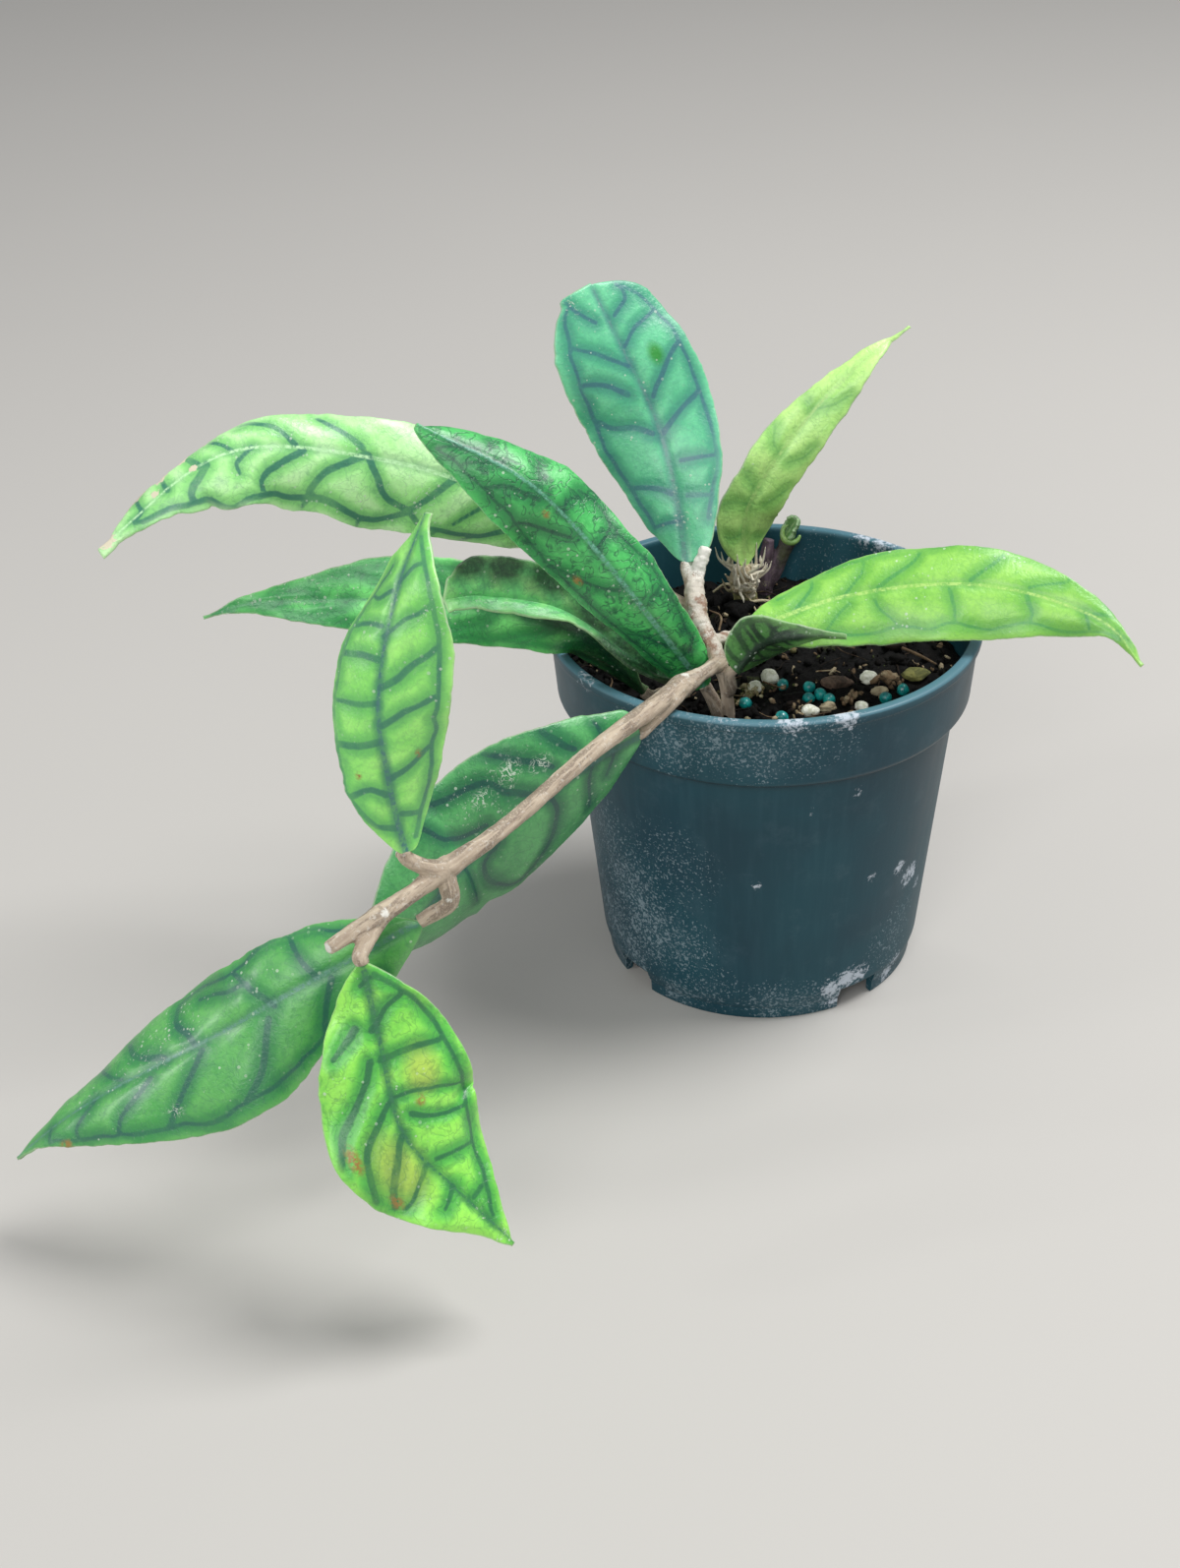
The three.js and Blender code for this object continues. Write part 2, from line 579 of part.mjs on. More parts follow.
addMesh("pot", fromSolid(makePot()), COLOURS.pot);
addMesh("vine_stem", fromSolid(joinLimbs(VINE_LIMBS)), COLOURS.bark);
addMesh("left_shoot", fromSolid(joinLimbs(LEFT_SHOOT_LIMBS)), COLOURS.bark);
const backShoot = joinLimbs(BACK_SHOOT_LIMBS).add(joinLimbs(driedRoots(), { sides: 4, step: 3 }));
addMesh("back_shoot", fromSolid(backShoot), COLOURS.root);
addMesh("cut_petioles", fromSolid(joinLimbs(CUT_PETIOLE_LIMBS)), COLOURS.purple);
addMesh("cut_leaf_remnant", bladeGeometry(CUT_REMNANT, REMNANT_ROWS), COLOURS.paleLeaf);

for (const [name, leaf] of Object.entries(LEAVES)) addMesh(name, bladeGeometry(leaf), colourOf(name));

// What lies on the soil, each in a socket of its own
const holes = [];
const taken = [];
const draw = seededDraws(23);
const settle = (name, [x, y], radii, detail, colour, seed) => {
  const at = [x, y, soilHeight(x, y) + radii[2] * (1 - SUNK_SHARE)];
  addMesh(name, stone(at, radii, detail, seededDraws(seed)), colour);
  const socket = radii.map((radius) => radius + SOCKET_GAP);
  holes.push(toSolid(stone(at, socket, detail, seededDraws(seed))));
  taken.push(at);
};
FERTILISER_BEADS.forEach((at, i) => {
  const seed = Math.floor(1000 * draw()) + 1;
  settle(`fertiliser_bead_${i + 1}`, at, Array(3).fill(BEAD_RADIUS), 1, COLOURS.bead, seed);
});
PERLITE.forEach(({ at, radii }, i) => settle(`perlite_${i + 1}`, at, radii, 1, COLOURS.perlite, 50 + i));
BARK_CHIPS.forEach(({ at, radii }, i) => settle(`bark_chip_${i + 1}`, at, radii, 1, COLOURS.chip, 70 + i));

for (const one of [...VINE_LIMBS, ...LEFT_SHOOT_LIMBS, ...BACK_SHOOT_LIMBS, ...CUT_PETIOLE_LIMBS]) {
  if (one.points[0][2] < SOIL_LEVEL + 2) {
    holes.push(limbHole(one));
    taken.push(one.points[1]);
  }
}
addMesh("soil", fromSolid(makeSoil(holes, taken)), COLOURS.soil);

export default part;
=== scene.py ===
"""A young potted Hoya callistophylla: pot, soil, shoots, a trailing vine and twelve patterned leaves.

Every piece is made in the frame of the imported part, in metres: the origin is the middle of the pot's base,
+Z is up, and the vine trails over the rim towards -X and -Y. Sizes in the tables are millimetres.
"""
import functools
import math

import bmesh
import bpy
import numpy as np
from bpy.props import FloatProperty, FloatVectorProperty, IntProperty, PointerProperty
from mathutils import Matrix, Vector


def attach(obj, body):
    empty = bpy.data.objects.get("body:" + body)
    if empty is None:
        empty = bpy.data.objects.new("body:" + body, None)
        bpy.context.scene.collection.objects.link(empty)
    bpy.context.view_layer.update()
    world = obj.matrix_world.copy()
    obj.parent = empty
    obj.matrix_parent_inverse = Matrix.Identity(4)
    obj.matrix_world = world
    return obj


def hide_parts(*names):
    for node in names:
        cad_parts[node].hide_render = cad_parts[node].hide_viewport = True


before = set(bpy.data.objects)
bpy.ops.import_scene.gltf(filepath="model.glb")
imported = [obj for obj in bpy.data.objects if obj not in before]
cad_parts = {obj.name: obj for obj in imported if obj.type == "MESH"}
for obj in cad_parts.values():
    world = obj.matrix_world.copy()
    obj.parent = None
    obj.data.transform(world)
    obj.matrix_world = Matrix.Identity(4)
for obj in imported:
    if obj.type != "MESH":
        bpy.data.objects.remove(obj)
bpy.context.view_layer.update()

bl_info = {
    "name": "Potted Hoya callistophylla",
    "version": (1, 0, 0),
    "blender": (4, 5, 0),
    "location": "View3D > Sidebar > Hoya",
    "description": "Leaves, stems, soil and nursery pot of a young trailing hoya",
    "category": "Add Mesh",
}

MM = 0.001

# A leaf's tints are its blade, its palest panels, its veins and its midrib, in sRGB. Its looks are how
# strong its veins, fine net, blotches and dark band along the midrib are, and how wide its veins.
# Its shape starts with half its width, the place of that greatest width along the midrib, how drawn out its
# base and tip are (under 1 is round), and the left half's share of the width. Then come, in degrees, how far
# each half bends down to its edge and how far both rise from the midrib, and the height and number of the
# ripples. Its midrib runs from base to tip. Its face gives the direction that the upper face looks in at base
# and at tip. The trims, in tenths of a millimetre, are added to either half at TRIM_PLACES.
# Veins are paths of along and across in turn, in hundredths: along from 0 at the base to 100 at the tip,
# across from -100 at the left edge to 100 at the right.
# Some leaves have more. steady evens out how the blade follows a bent midrib. Marks are a kind, a place along
# and across, and a radius. Dents (under 0) and bulges of an edge are a side, a place along, a depth and a
# reach. ruled is how many side veins are added to either half by rule, relief the leaf's own rise between its
# veins, underside the colour of its underside and faded how strong that colour is.
# The midribs, faces and trims, and the shapes apart from their ripples, come from a program that fitted them
# to outlines read off the photograph. They were then rounded. It fitted curl and fold for three leaves only.
# The vein paths were picked one by one, and a program carried them over to these blades.
LEAF_SHAPE = ("half", "widest", "base_shape", "tip_shape", "left_share", "curl", "fold", "wave", "waves")
TRIM_PLACES = [0, 0.06, 0.14, 0.23, 0.32, 0.41, 0.5, 0.59, 0.68, 0.77, 0.85, 0.92, 0.97, 1]
LEAVES = {
    "leaf_back_oval": {
        "slot": "leaf_blue", "tints": ("50b885", "73d59f", "3b6a7c", "5f8f88"),
        "looks": (0.85, 0.1, 0.12, 0.55, 1.1), "shape": (15.5, 0.7, 0.65, 0.35, 1.1, 16, 4, 0.6, 3),
        "midrib": [(-19, -5, 110), (-21, 2.5, 125.5), (-25, 9.5, 140), (-31.5, 13, 154.5),
            (-39.5, 18.5, 171)],
        "face": [(-0.45, -0.8, 0.35), (0.4, -0.8, 0.45)],
        "trim_left": [-13, -13, -6, -3, -3, -3, -2, -4, -4, -3, 1, -4, -1, 40],
        "trim_right": [16, 15, -2, -5, 0, -3, -3, 1, 1, 3, 0, 1, -18, -59],
        "main_veins": [[45, 7, 51, 45, 54, 78], [59, 10, 68, 55, 71, 85], [24, -10, 27, -35, 29, -78],
            [46, -10, 51, -35, 54, -62, 60, -80], [64, -22, 71, -47, 74, -72]],
        "side_veins": [[22, 28, 21, 78], [34, 23, 33, 88], [79, 3, 83, 43, 84, 83], [88, 15, 91, 48, 96, 70],
            [14, -2, 13, -75], [73, -5, 81, -40, 86, -72], [89, -22, 94, -52, 98, -85],
            [14, 78, 33, 90, 54, 80, 71, 85, 84, 83, 96, 68],
            [13, -75, 29, -82, 42, -85, 60, -82, 74, -78, 86, -75, 96, -78]],
        "marks": [("window", 0.72, 0.42, 2.2), ("frost", 0.17, 0.05, 3.5), ("frost", 0.95, -0.6, 4)],
        "dents": [(-1, 0.972, -1.2, 1.4), (1, 0.9, 0.4, 4), (-1, 0.84, 0.4, 4)],
    },
    "leaf_back_pointed": {
        "slot": "leaf_pale", "tints": ("a3e175", "cfff94", "539a53", "b1db80"),
        "looks": (0.6, 0.2, 0.15, 0.2, 0.65), "shape": (9.5, 0.2, 1, 1.7, 0.75, 14, 4, 0.5, 4),
        "midrib": [(-2, 31, 91), (-1, 30.5, 107.5), (12, 35, 126), (27.5, 40, 140), (40.5, 46.5, 147)],
        "face": [(0.5, -0.85, 0), (-0.3, -0.55, 0.8)],
        "trim_left": [-6, 1, 3, 3, -1, 0, 0, -2, -1, 2, -3, 0, -1, -5],
        "trim_right": [-4, -2, 9, -3, -4, -1, 2, 6, 4, 2, -3, -12, -8, 1],
        "main_veins": [],
        "side_veins": [[11, 43, 9, 88], [27, 43, 36, 88], [41, 35, 44, 62, 49, 78], [56, -2, 61, 38, 67, 75],
            [14, -5, 14, -42, 15, -82], [26, -12, 24, -90], [31, -15, 34, -95], [42, -7, 43, -42, 47, -85],
            [56, -2, 57, -82]],
    },
    "leaf_right_large": {
        "slot": "leaf_pale", "tints": ("80c74b", "9edd60", "429550", "b6df79"),
        "looks": (0.85, 0.15, 0.12, 0.2, 0.8), "shape": (14, 0.4, 0.75, 2.95, 0.75, 24, 2, 0.7, 5),
        "midrib": [(-8, -18, 97), (18.5, -13.5, 103.5), (48.5, -18.5, 107.5), (74, -27.5, 102.5),
            (83.5, -36, 94)],
        "face": [(-0.15, -0.5, 0.85), (-0.35, -0.8, 0.45)],
        "trim_left": [-9, 3, -5, -5, 4, 2, 1, 8, 3, 1, 0, 7, 0, -6],
        "trim_right": [-11, -2, -1, 1, -8, -4, -3, 5, 2, 3, -3, 0, -3, -7],
        "main_veins": [[44, 10, 45, 40, 45, 65], [59, 7, 61, 38, 61, 62], [14, -12, 18, -52, 19, -88],
            [31, -7, 37, -52, 39, -90], [48, -10, 52, -57, 54, -95]],
        "side_veins": [[25, 15, 18, 65], [30, 15, 31, 38, 34, 68], [72, 0, 74, 43, 75, 73], [83, -7, 86, 38],
            [18, 65, 26, 80, 34, 70, 40, 78, 45, 68, 53, 80, 61, 65, 69, 80, 75, 73, 86, 48],
            [24, -2, 28, -47, 29, -82], [59, -12, 65, -65, 66, -95], [74, -12, 78, -55, 80, -80],
            [86, -20, 90, -80],
            [11, -75, 19, -88, 29, -88, 39, -95, 46, -100, 54, -97, 66, -100, 80, -82, 90, -93]],
    },
    "leaf_small_curled": {
        "slot": "leaf_dark", "tints": ("5c9c4c", "7cb660", "182e20", "1e3422"),
        "looks": (0.95, 0.3, 0.3, 1, 1), "shape": (8, 0.25, 0.6, 5.95, 1.2, -24, 8, 0.3, 3),
        "midrib": [(-10, -31, 95), (-4, -30.5, 101), (0.5, -33, 104), (9.5, -35, 105), (15, -35.5, 104.5)],
        "face": [(-0.15, 0.85, 0.5), (0.05, 0.9, -0.4)],
        "trim_left": [-2, 5, 7, 1, -1, -4, -2, -1, 0, 0, 2, 0, 0, 0],
        "trim_right": [0, 3, 1, 4, 4, 1, 1, 3, 2, 1, 2, 2, 3, 0],
        "main_veins": [[3, 8, 19, 0, 44, 10, 60, 50, 74, 85, 90, 90], [14, 0, 17, 38, 20, 90],
            [34, 3, 34, 50, 34, 88]],
        "side_veins": [[49, 12, 46, 62, 44, 95], [58, 43, 55, 95], [6, 10, 7, 58, 9, 95],
            [24, 2, 26, 50, 27, 93], [19, -2, 16, -60], [34, -2, 32, -60]],
        "ruled": 6, "faded": 0,
    },
    "leaf_front_diagonal": {
        "slot": "leaf_dark", "tints": ("39a254", "56cb69", "184b3c", "69aa90"),
        "looks": (0.8, 0.65, 0.7, 0.5, 0.8), "shape": (10, 0.55, 0.55, 0.8, 1.35, 34, -10, 0.7, 5),
        "midrib": [(-16.7, -25.4, 88), (-31.3, -35, 114), (-44.6, -33.5, 132.2), (-57.5, -33, 145.9),
            (-79.5, -28.5, 157.5)],
        "face": [(-0.15, -1, 0), (0.2, -0.6, 0.8)],
        "trim_left": [30, 20, 10, 5, -1, -4, -6, -5, -2, -1, 0, -3, -3, 6],
        "trim_right": [-5, 8, 2, 0, 3, -5, -2, 2, 5, -1, 2, 12, -5, -23],
        "main_veins": [[44, 7, 45, 43, 46, 65, 51, 80, 58, 68], [14, -10, 18, -38, 19, -68],
            [32, -12, 36, -42, 44, -70, 48, -80], [51, -17, 56, -35, 64, -55, 67, -68],
            [67, -10, 76, -27, 81, -57]],
        "side_veins": [[10, 33, 11, 60], [26, 30, 26, 68, 26, 83], [59, 5, 59, 35, 56, 68],
            [70, 23, 72, 58, 72, 83], [84, 28, 85, 60], [80, 10, 86, -25, 88, -52],
            [86, 18, 92, -25, 94, -62],
            [6, -60, 18, -75, 31, -78, 48, -82, 58, -75, 67, -70, 81, -60, 88, -55, 94, -60],
            [11, 60, 19, 78, 26, 80, 37, 73, 46, 65]],
        "marks": [("stain", 0.62, -0.2, 0.9), ("stain", 0.4, -0.62, 1.1), ("frost", 0.3, 0, 4)],
    },
    "leaf_far_left_long": {
        "slot": "leaf_green", "tints": ("a3f587", "cdffb7", "337964", "c9f8be"),
        "looks": (0.95, 0.2, 0.2, 0.3, 1.35), "shape": (10, 0.5, 0.8, 1.25, 1.7, 45, 1, 1.3, 6),
        "midrib": [(-39, 8, 107), (-56, -1.5, 124.5), (-88, -6, 139.5), (-123, -12.5, 145.5),
            (-153, -22.5, 127.5)],
        "face": [(0.45, -0.9, -0.1), (-0.45, -0.55, 0.7)],
        "trim_left": [-1, -6, 8, -5, 4, 5, 14, -10, -14, 17, 2, -5, -5, 23],
        "trim_right": [29, 19, 0, -7, 0, 0, 1, -2, -6, -9, -10, 38, 3, -41],
        "main_veins": [[39, -2, 42, -38, 44, -57], [53, 5, 51, -25, 47, -52, 44, -60],
            [54, 0, 59, -30, 61, -57, 61, -70], [63, -5, 68, -35, 70, -55, 70, -72],
            [79, -7, 83, -40, 84, -70], [27, -57, 31, -80, 38, -80, 41, -80, 44, -60],
            [44, -60, 47, -75, 52, -80, 61, -72, 72, -85, 79, -97, 83, -75, 92, -57]],
        "side_veins": [[71, 0, 74, -22, 74, -40], [91, 5, 93, -25, 92, -52], [31, -80, 33, -95],
            [38, -80, 39, -95], [52, -80, 52, -95], [61, -72, 62, -90], [21, -7, 24, -38, 27, -57],
            [31, -5, 34, -38, 36, -65], [54, 18, 61, 80], [64, 7, 67, 50, 72, 90], [74, 3, 77, 75],
            [80, -2, 81, 73], [86, -2, 86, 83], [91, 12, 91, 78]],
        "marks": [("dead", 0.9, 0.95, 2), ("dead", 0.86, 0.97, 1.5), ("dead", 0.88, 0.2, 0.9),
            ("dead", 0.81, 0.05, 0.9), ("dead", 0.98, 0.5, 1.8), ("dead", 0.93, 0.9, 1.6),
            ("dead", 0.82, 0.97, 1.3), ("dead", 0.78, 0.97, 0.9), ("frost", 0.75, 0.55, 6),
            ("frost", 0.45, -0.4, 6)],
        "dents": [(-1, 0.8, -1.1, 1), (-1, 0.735, -0.4, 4), (-1, 0.62, 0.9, 4), (-1, 0.86, -0.5, 1.5),
            (1, 0.85, -0.6, 1)],
    },
    "leaf_lower_left_dark": {
        "slot": "leaf_dark", "tints": ("3fad57", "82f181", "236348", "4c9e66"),
        "looks": (0.4, 0.35, 0.3, 0.3, 0.9), "shape": (11, 0.45, 1, 4.6, 0.85, 10, 5, 0.7, 5),
        "midrib": [(-30, -17, 82), (-47.1, -17.8, 100.1), (-82.2, -11.8, 106.2), (-120, -9, 105.8),
            (-133.7, -8.3, 102.4)],
        "face": [(-0.85, -0.55, 0), (0.15, -0.85, 0.5)],
        "trim_left": [-7, 16, 51, 1, -5, 2, -1, 4, 4, 3, 3, 1, -5, -8],
        "trim_right": [-9, 2, 10, -8, -14, 0, -1, 7, 1, 4, 2, 1, -1, -5],
        "main_veins": [],
        "side_veins": [],
        # Its dark marks are painted shade over its base, which the leaves above shade, and its frost marks
        # are a painted sheen.
        "marks": [("frost", 0.67, 0.75, 7), ("frost", 0.8, 0.4, 7), ("dark", 0.27, 0.5, 10),
            ("dark", 0.14, 0.2, 12), ("dark", 0.05, 0, 9), ("dark", 0.4, 0.6, 6)],
        "ruled": 8,
    },
    "leaf_mid_left_blunt": {
        "slot": "leaf_dark", "tints": ("80ea88", "b2ff9c", "388060", "8cdc90"),
        "looks": (0.35, 0.3, 0.3, 0.2, 0.8), "shape": (9.5, 0.7, 1.75, 0.3, 0.45, 8, 32, 0.6, 3),
        "midrib": [(-24, -16.3, 84.6), (-30.2, -24.9, 92.4), (-48.6, -24.3, 108.2), (-66.4, -27, 114.3),
            (-75.9, -32.6, 116.8)],
        "face": [(0.2, -0.4, 0.9), (-0.05, -0.85, 0.5)],
        "trim_left": [-7, 0, 2, 2, 5, -6, -5, 10, 0, 0, 0, -1, 2, 20],
        "trim_right": [-6, 23, 30, 0, -4, -3, -4, 1, 0, 1, 1, -5, -12, 18],
        "main_veins": [],
        "side_veins": [],
        # Its dark marks are painted shade over its base and its far half, which the leaf above shades.
        "marks": [("frost", 0.75, -0.2, 6), ("dark", 0.85, 0.85, 4.5), ("dark", 0.7, 0.8, 5.5),
            ("dark", 0.56, 0.75, 6), ("dark", 0.43, 0.55, 7), ("dark", 0.3, 0.3, 9), ("dark", 0.15, 0, 12),
            ("dark", 0.3, -0.5, 8), ("dark", 0.37, -0.85, 5), ("dark", 0.27, -0.9, 7),
            ("dark", 0.18, -0.7, 9)],
        "ruled": 8,
    },
    "leaf_vine_upright": {
        "slot": "leaf_green", "tints": ("82e366", "b0ff80", "317763", "457b76"),
        "looks": (0.9, 0.12, 0.15, 0.75, 1.1), "shape": (14.5, 0.6, 0.7, 1.5, 0.75, 32, 3, 0.6, 4),
        "midrib": [(-84, -105, 97), (-86, -105.5, 114), (-86.5, -104.5, 132), (-81.5, -99, 153),
            (-75.5, -91.5, 165.5)],
        "face": [(0.35, -0.9, 0.15), (-0.8, -0.3, 0.55)],
        "trim_left": [-7, -4, 6, 10, 3, -1, 9, 4, -10, -8, 3, 5, 13, 1],
        "trim_right": [5, -1, 3, -4, -2, -2, 0, 0, -5, -6, -9, -4, 5, 13],
        "main_veins": [[13, 18, 11, 65], [26, 5, 29, 38, 34, 75], [43, 5, 49, 45, 54, 75],
            [53, 3, 59, 40, 65, 75], [9, -15, 11, -70], [21, -10, 23, -42, 21, -93],
            [38, 0, 37, -45, 37, -90], [59, -7, 59, -42, 58, -85]],
        "side_veins": [[64, -7, 69, 30, 74, 73], [77, -2, 82, 30, 84, 65], [49, 0, 48, -47, 47, -90],
            [66, -15, 65, -62, 64, -85], [74, -15, 71, -47, 71, -72],
            [4, 58, 11, 70, 21, 78, 34, 78, 54, 80, 65, 80, 74, 78, 84, 68, 91, 50],
            [11, -72, 21, -97, 37, -93, 47, -93, 58, -90, 64, -90, 71, -78, 81, -55]],
        "marks": [("stain", 0.33, 0.55, 0.8), ("stain", 0.28, -0.6, 0.7), ("frost", 0.75, 0.85, 5)],
    },
    "leaf_vine_under": {
        "slot": "leaf_green", "tints": ("398e51", "5eb469", "1b4e49", "396f67"),
        "looks": (0.92, 0.2, 0.2, 0.7, 1.1), "shape": (21, 0.65, 0.7, 0.9, 1.35, 46, 3, 0.6, 4),
        "midrib": [(-33.5, -49.5, 89.5), (-49, -59.5, 85), (-70.5, -69.5, 72.5), (-76.5, -75.5, 70),
            (-95.5, -88, 55.5)],
        "face": [(0.5, -0.85, 0), (0.6, -0.8, -0.15)], "steady": 0.24,
        "trim_left": [-4, -9, 4, 25, 15, 32, -16, -35, -17, -14, -13, -16, -15, -2],
        "trim_right": [45, 13, -8, -7, 1, 4, 4, 7, -9, -6, -1, -7, 2, -5],
        "main_veins": [[21, 46, 24, 73, 26, 92], [28, 38, 34, 73, 38, 95], [34, 22, 38, 43, 44, 75, 66, 92],
            [45, 26, 56, 40, 66, 50, 74, 83],
            [31, 0, 31, -22, 34, -52, 39, -75, 44, -68, 50, -38, 50, -15, 44, -5]],
        "side_veins": [[11, 30, 12, 83], [10, 0, 11, -12, 15, -32], [18, 0, 21, -20, 23, -60],
            [62, 10, 64, -30, 66, -55], [78, 20, 82, -17]],
        "marks": [("scar", 0.3, 0.5, 2.2), ("scar", 0.36, 0.62, 2.6), ("scar", 0.43, 0.55, 2),
            ("frost", 0.4, 0.5, 9), ("frost", 0.4, -0.6, 6)],
        "dents": [(-1, 0.42, -0.5, 2), (-1, 0.5, 0.5, 3), (-1, 0.62, 0.4, 2.5)],
    },
    "leaf_vine_left": {
        "slot": "leaf_green", "tints": ("46a44e", "68bc60", "256256", "5a917d"),
        "looks": (0.9, 0.2, 0.2, 0.45, 1.1), "shape": (15, 0.5, 0.75, 2.2, 1.3, 42, 3, 0.7, 5),
        "midrib": [(-82, -104, 79), (-111, -110.5, 66), (-127, -110.5, 56), (-156, -107, 37),
            (-173.5, -105.5, 22)],
        "face": [(0.35, -0.85, 0.4), (-0.65, -0.15, 0.75)],
        "trim_left": [-7, 4, 5, -7, 2, -3, 0, -10, -12, -10, 0, -3, -2, -5],
        "trim_right": [-17, -1, 10, 6, -7, -9, 4, 0, -7, -5, 10, 33, 10, -15],
        "main_veins": [[18, 3, 19, 53, 19, 90], [28, -5, 32, 40, 36, 78], [53, 3, 56, 45, 56, 80],
            [59, 3, 64, 38, 66, 78], [16, -12, 21, -65, 22, -82], [31, -15, 39, -50, 49, -80],
            [52, -7, 58, -45, 62, -78], [62, -12, 68, -47, 70, -78]],
        "side_veins": [[32, 48, 43, 55, 51, 60], [67, 7, 70, 38, 72, 83], [73, -5, 78, -42, 79, -75],
            [86, -5, 87, -62],
            [9, -60, 22, -80, 34, -80, 49, -80, 56, -85, 62, -80, 70, -80, 79, -78, 87, -70],
            [8, 58, 19, 95, 36, 80, 56, 83]],
        "marks": [("scar", 0.6, -0.62, 1.4), ("stain", 0.83, -0.9, 1.4), ("frost", 0.6, 0.2, 9)],
    },
    "leaf_vine_hanging": {
        "slot": "leaf_green", "tints": ("62cf4d", "a3f75f", "276a46", "397753"),
        "looks": (0.92, 0.3, 0.3, 0.7, 1.15), "shape": (15, 0.5, 0.95, 1.5, 1.25, 26, 5, 1.6, 4),
        "midrib": [(-93, -122, 82), (-90.5, -127.5, 66.5), (-87, -134.5, 48.5), (-77, -137, 35),
            (-65.5, -140, 22)],
        "face": [(0.1, -1, 0.05), (0.6, -0.6, 0.55)],
        "trim_left": [-8, -1, 2, -1, 4, 3, 2, -5, 1, -6, -11, 4, 5, -13],
        "trim_right": [-5, 3, -2, 3, 4, -3, 8, -7, -3, 5, -3, -2, 8, 0],
        "main_veins": [[20, 38, 27, 80], [30, 20, 36, 35, 44, 70, 50, 93], [41, 5, 49, 45, 53, 65, 60, 90],
            [51, 3, 56, 33, 61, 62, 65, 83], [21, 12, 15, -27, 12, -68], [30, 5, 29, -40, 29, -75],
            [46, -17, 54, -55, 59, -82]],
        "side_veins": [[63, 5, 66, 45, 67, 78], [74, -2, 76, 48], [7, 25, 5, -27, 7, -65],
            [40, 0, 40, -40, 43, -80], [64, -12, 69, -50, 71, -72], [81, -15, 81, -52],
            [4, -47, 12, -78, 29, -82, 43, -85, 59, -82, 71, -72, 82, -60, 89, -25]],
        "marks": [("pale", 0.35, -0.4, 4.5), ("pale", 0.58, 0.35, 6), ("stain", 0.43, -0.3, 1.1),
            ("frost", 0.93, 0, 6), ("stain", 0.5, 0.72, 1.6), ("stain", 0.64, 0.74, 1.3)],
        "dents": [(1, 0.62, 0.5, 3), (-1, 0.55, -0.4, 2)],
        "relief": 0.5,
    },
}

# Tints that every leaf shares
FADED_UNDERSIDE = "8fae78"
STAIN_TINT = "9c7a3c"
DEAD_TINT = "dcd3b8"

# A dark mark is painted shade: it darkens a blade towards deep green where other leaves shade it. A frost
# mark is a whitish film, and near the tips of some leaves it is a painted sheen.
MARK_KINDS = ("scar", "stain", "pale", "window", "frost", "dead", "dark")

# Half the width at a blade's neck and tip, and the least anywhere
NECK_HALF = 1.4
TIP_HALF = 0.6
LEAST_HALF = 0.45
BLADE_ROWS = 190
BLADE_COLUMNS = 27
# How far in from its edge a blade has its full thickness, and how deep its keel and the groove over it are
EDGE_ROUNDING = 0.55
KEEL_DEPTH = 0.45
MIDRIB_HOLLOW = 0.12
# How much thicker a blade is at its neck, and how far along that reaches
NECK_SWELL = 0.7
NECK_REACH = 2.2
# How far from a vein the blade has risen to its full height
PANEL_REACH = 1.5
# How far a vein strays to either side of its path
VEIN_WANDER = 0.35
# The straight end of a petiole, and the gap between two pieces that touch in the plant
PETIOLE_STRAIGHT = 1.5
SEAT_GAP = 0.3

# Stems and petioles as limbs: the points along each, radii spread evenly from its start to its end, and
# the leaf that a petiole leads to. It ends just short of that leaf's base.
VINE_LIMBS = [
    ([(-10.5, -25, 62), (-10.8, -25.5, 80), (-12, -27, 90), (-13.4, -27.8, 95)], [1.8, 1.5, 1.5, 1.9]),
    ([(-13.4, -27.8, 95), (-18, -33.6, 95.4), (-22.9, -39.3, 95.7), (-27.4, -45.3, 95.8),
        (-44.9, -66.7, 95.2), (-64.2, -92, 93), (-76.8, -102.2, 90), (-83, -107.4, 88.2), (-89.3, -112.8, 87),
        (-99.4, -122.2, 86)],
        [1.9, 1.7, 2.8, 2.4, 1.9, 1.8, 2.3, 1.8, 2.2, 1.5]),
    ([(-13.4, -27.8, 95), (-14.8, -23.8, 98.6), (-16.6, -20.8, 100.4), (-17.3, -17, 102.9),
        (-17.8, -12, 106.1), (-16.8, -9, 109), (-14.6, -7, 114.5)],
        [2.1, 1.8, 1.9, 2.1, 2.4, 1.9, 1.4]),
    ([(-17.8, -12, 106.1), (-18.3, -8.5, 108)], [2.1, 1.9, 1.5], "leaf_back_oval"),
    ([(-14.8, -23.4, 98.6), (-12, -20.5, 97.6)], [1.6, 1.5, 1.5], "leaf_right_large"),
    ([(-17.3, -17, 102.7), (-23, -8, 102.5), (-31, 1.5, 104.5)], [1.7, 1.5, 1.5, 1.5], "leaf_far_left_long"),
    ([(-11.2, -26, 86), (-10.6, -28.6, 89)], [1.5, 1.4, 1.3], "leaf_small_curled"),
    ([(-11.6, -24.6, 64), (-12.8, -24.3, 78)], [1.8, 1.6, 1.5], "leaf_front_diagonal"),
    ([(-22.6, -40, 95), (-25.4, -45.2, 94.9)], [1.6, 1.4, 1.4], "leaf_vine_under"),
    ([(-76.8, -102.2, 90), (-80, -104.2, 92.2)], [2, 1.7, 1.4], "leaf_vine_upright"),
    ([(-82.4, -104.8, 94.6), (-85.6, -103.6, 95.8)], [1.2, 1]),
    ([(-76.8, -102.2, 90), (-75.6, -103, 86), (-75.9, -103.3, 82.4)], [2, 1.9, 1.7, 1.5], "leaf_vine_left"),
    ([(-89.3, -112.8, 87), (-91, -115.2, 84.8)], [2, 1.7, 1.5], "leaf_vine_hanging"),
]
LEFT_SHOOT_LIMBS = [
    ([(-25.5, -14.5, 60), (-26, -15, 80.4)], [2, 2.4]),
    ([(-26, -15, 79.8), (-27.4, -16.6, 80.4)], [2, 1.7, 1.5], "leaf_lower_left_dark"),
    ([(-26, -15, 79.8), (-24, -16, 81.4)], [2, 1.7, 1.5], "leaf_mid_left_blunt"),
]
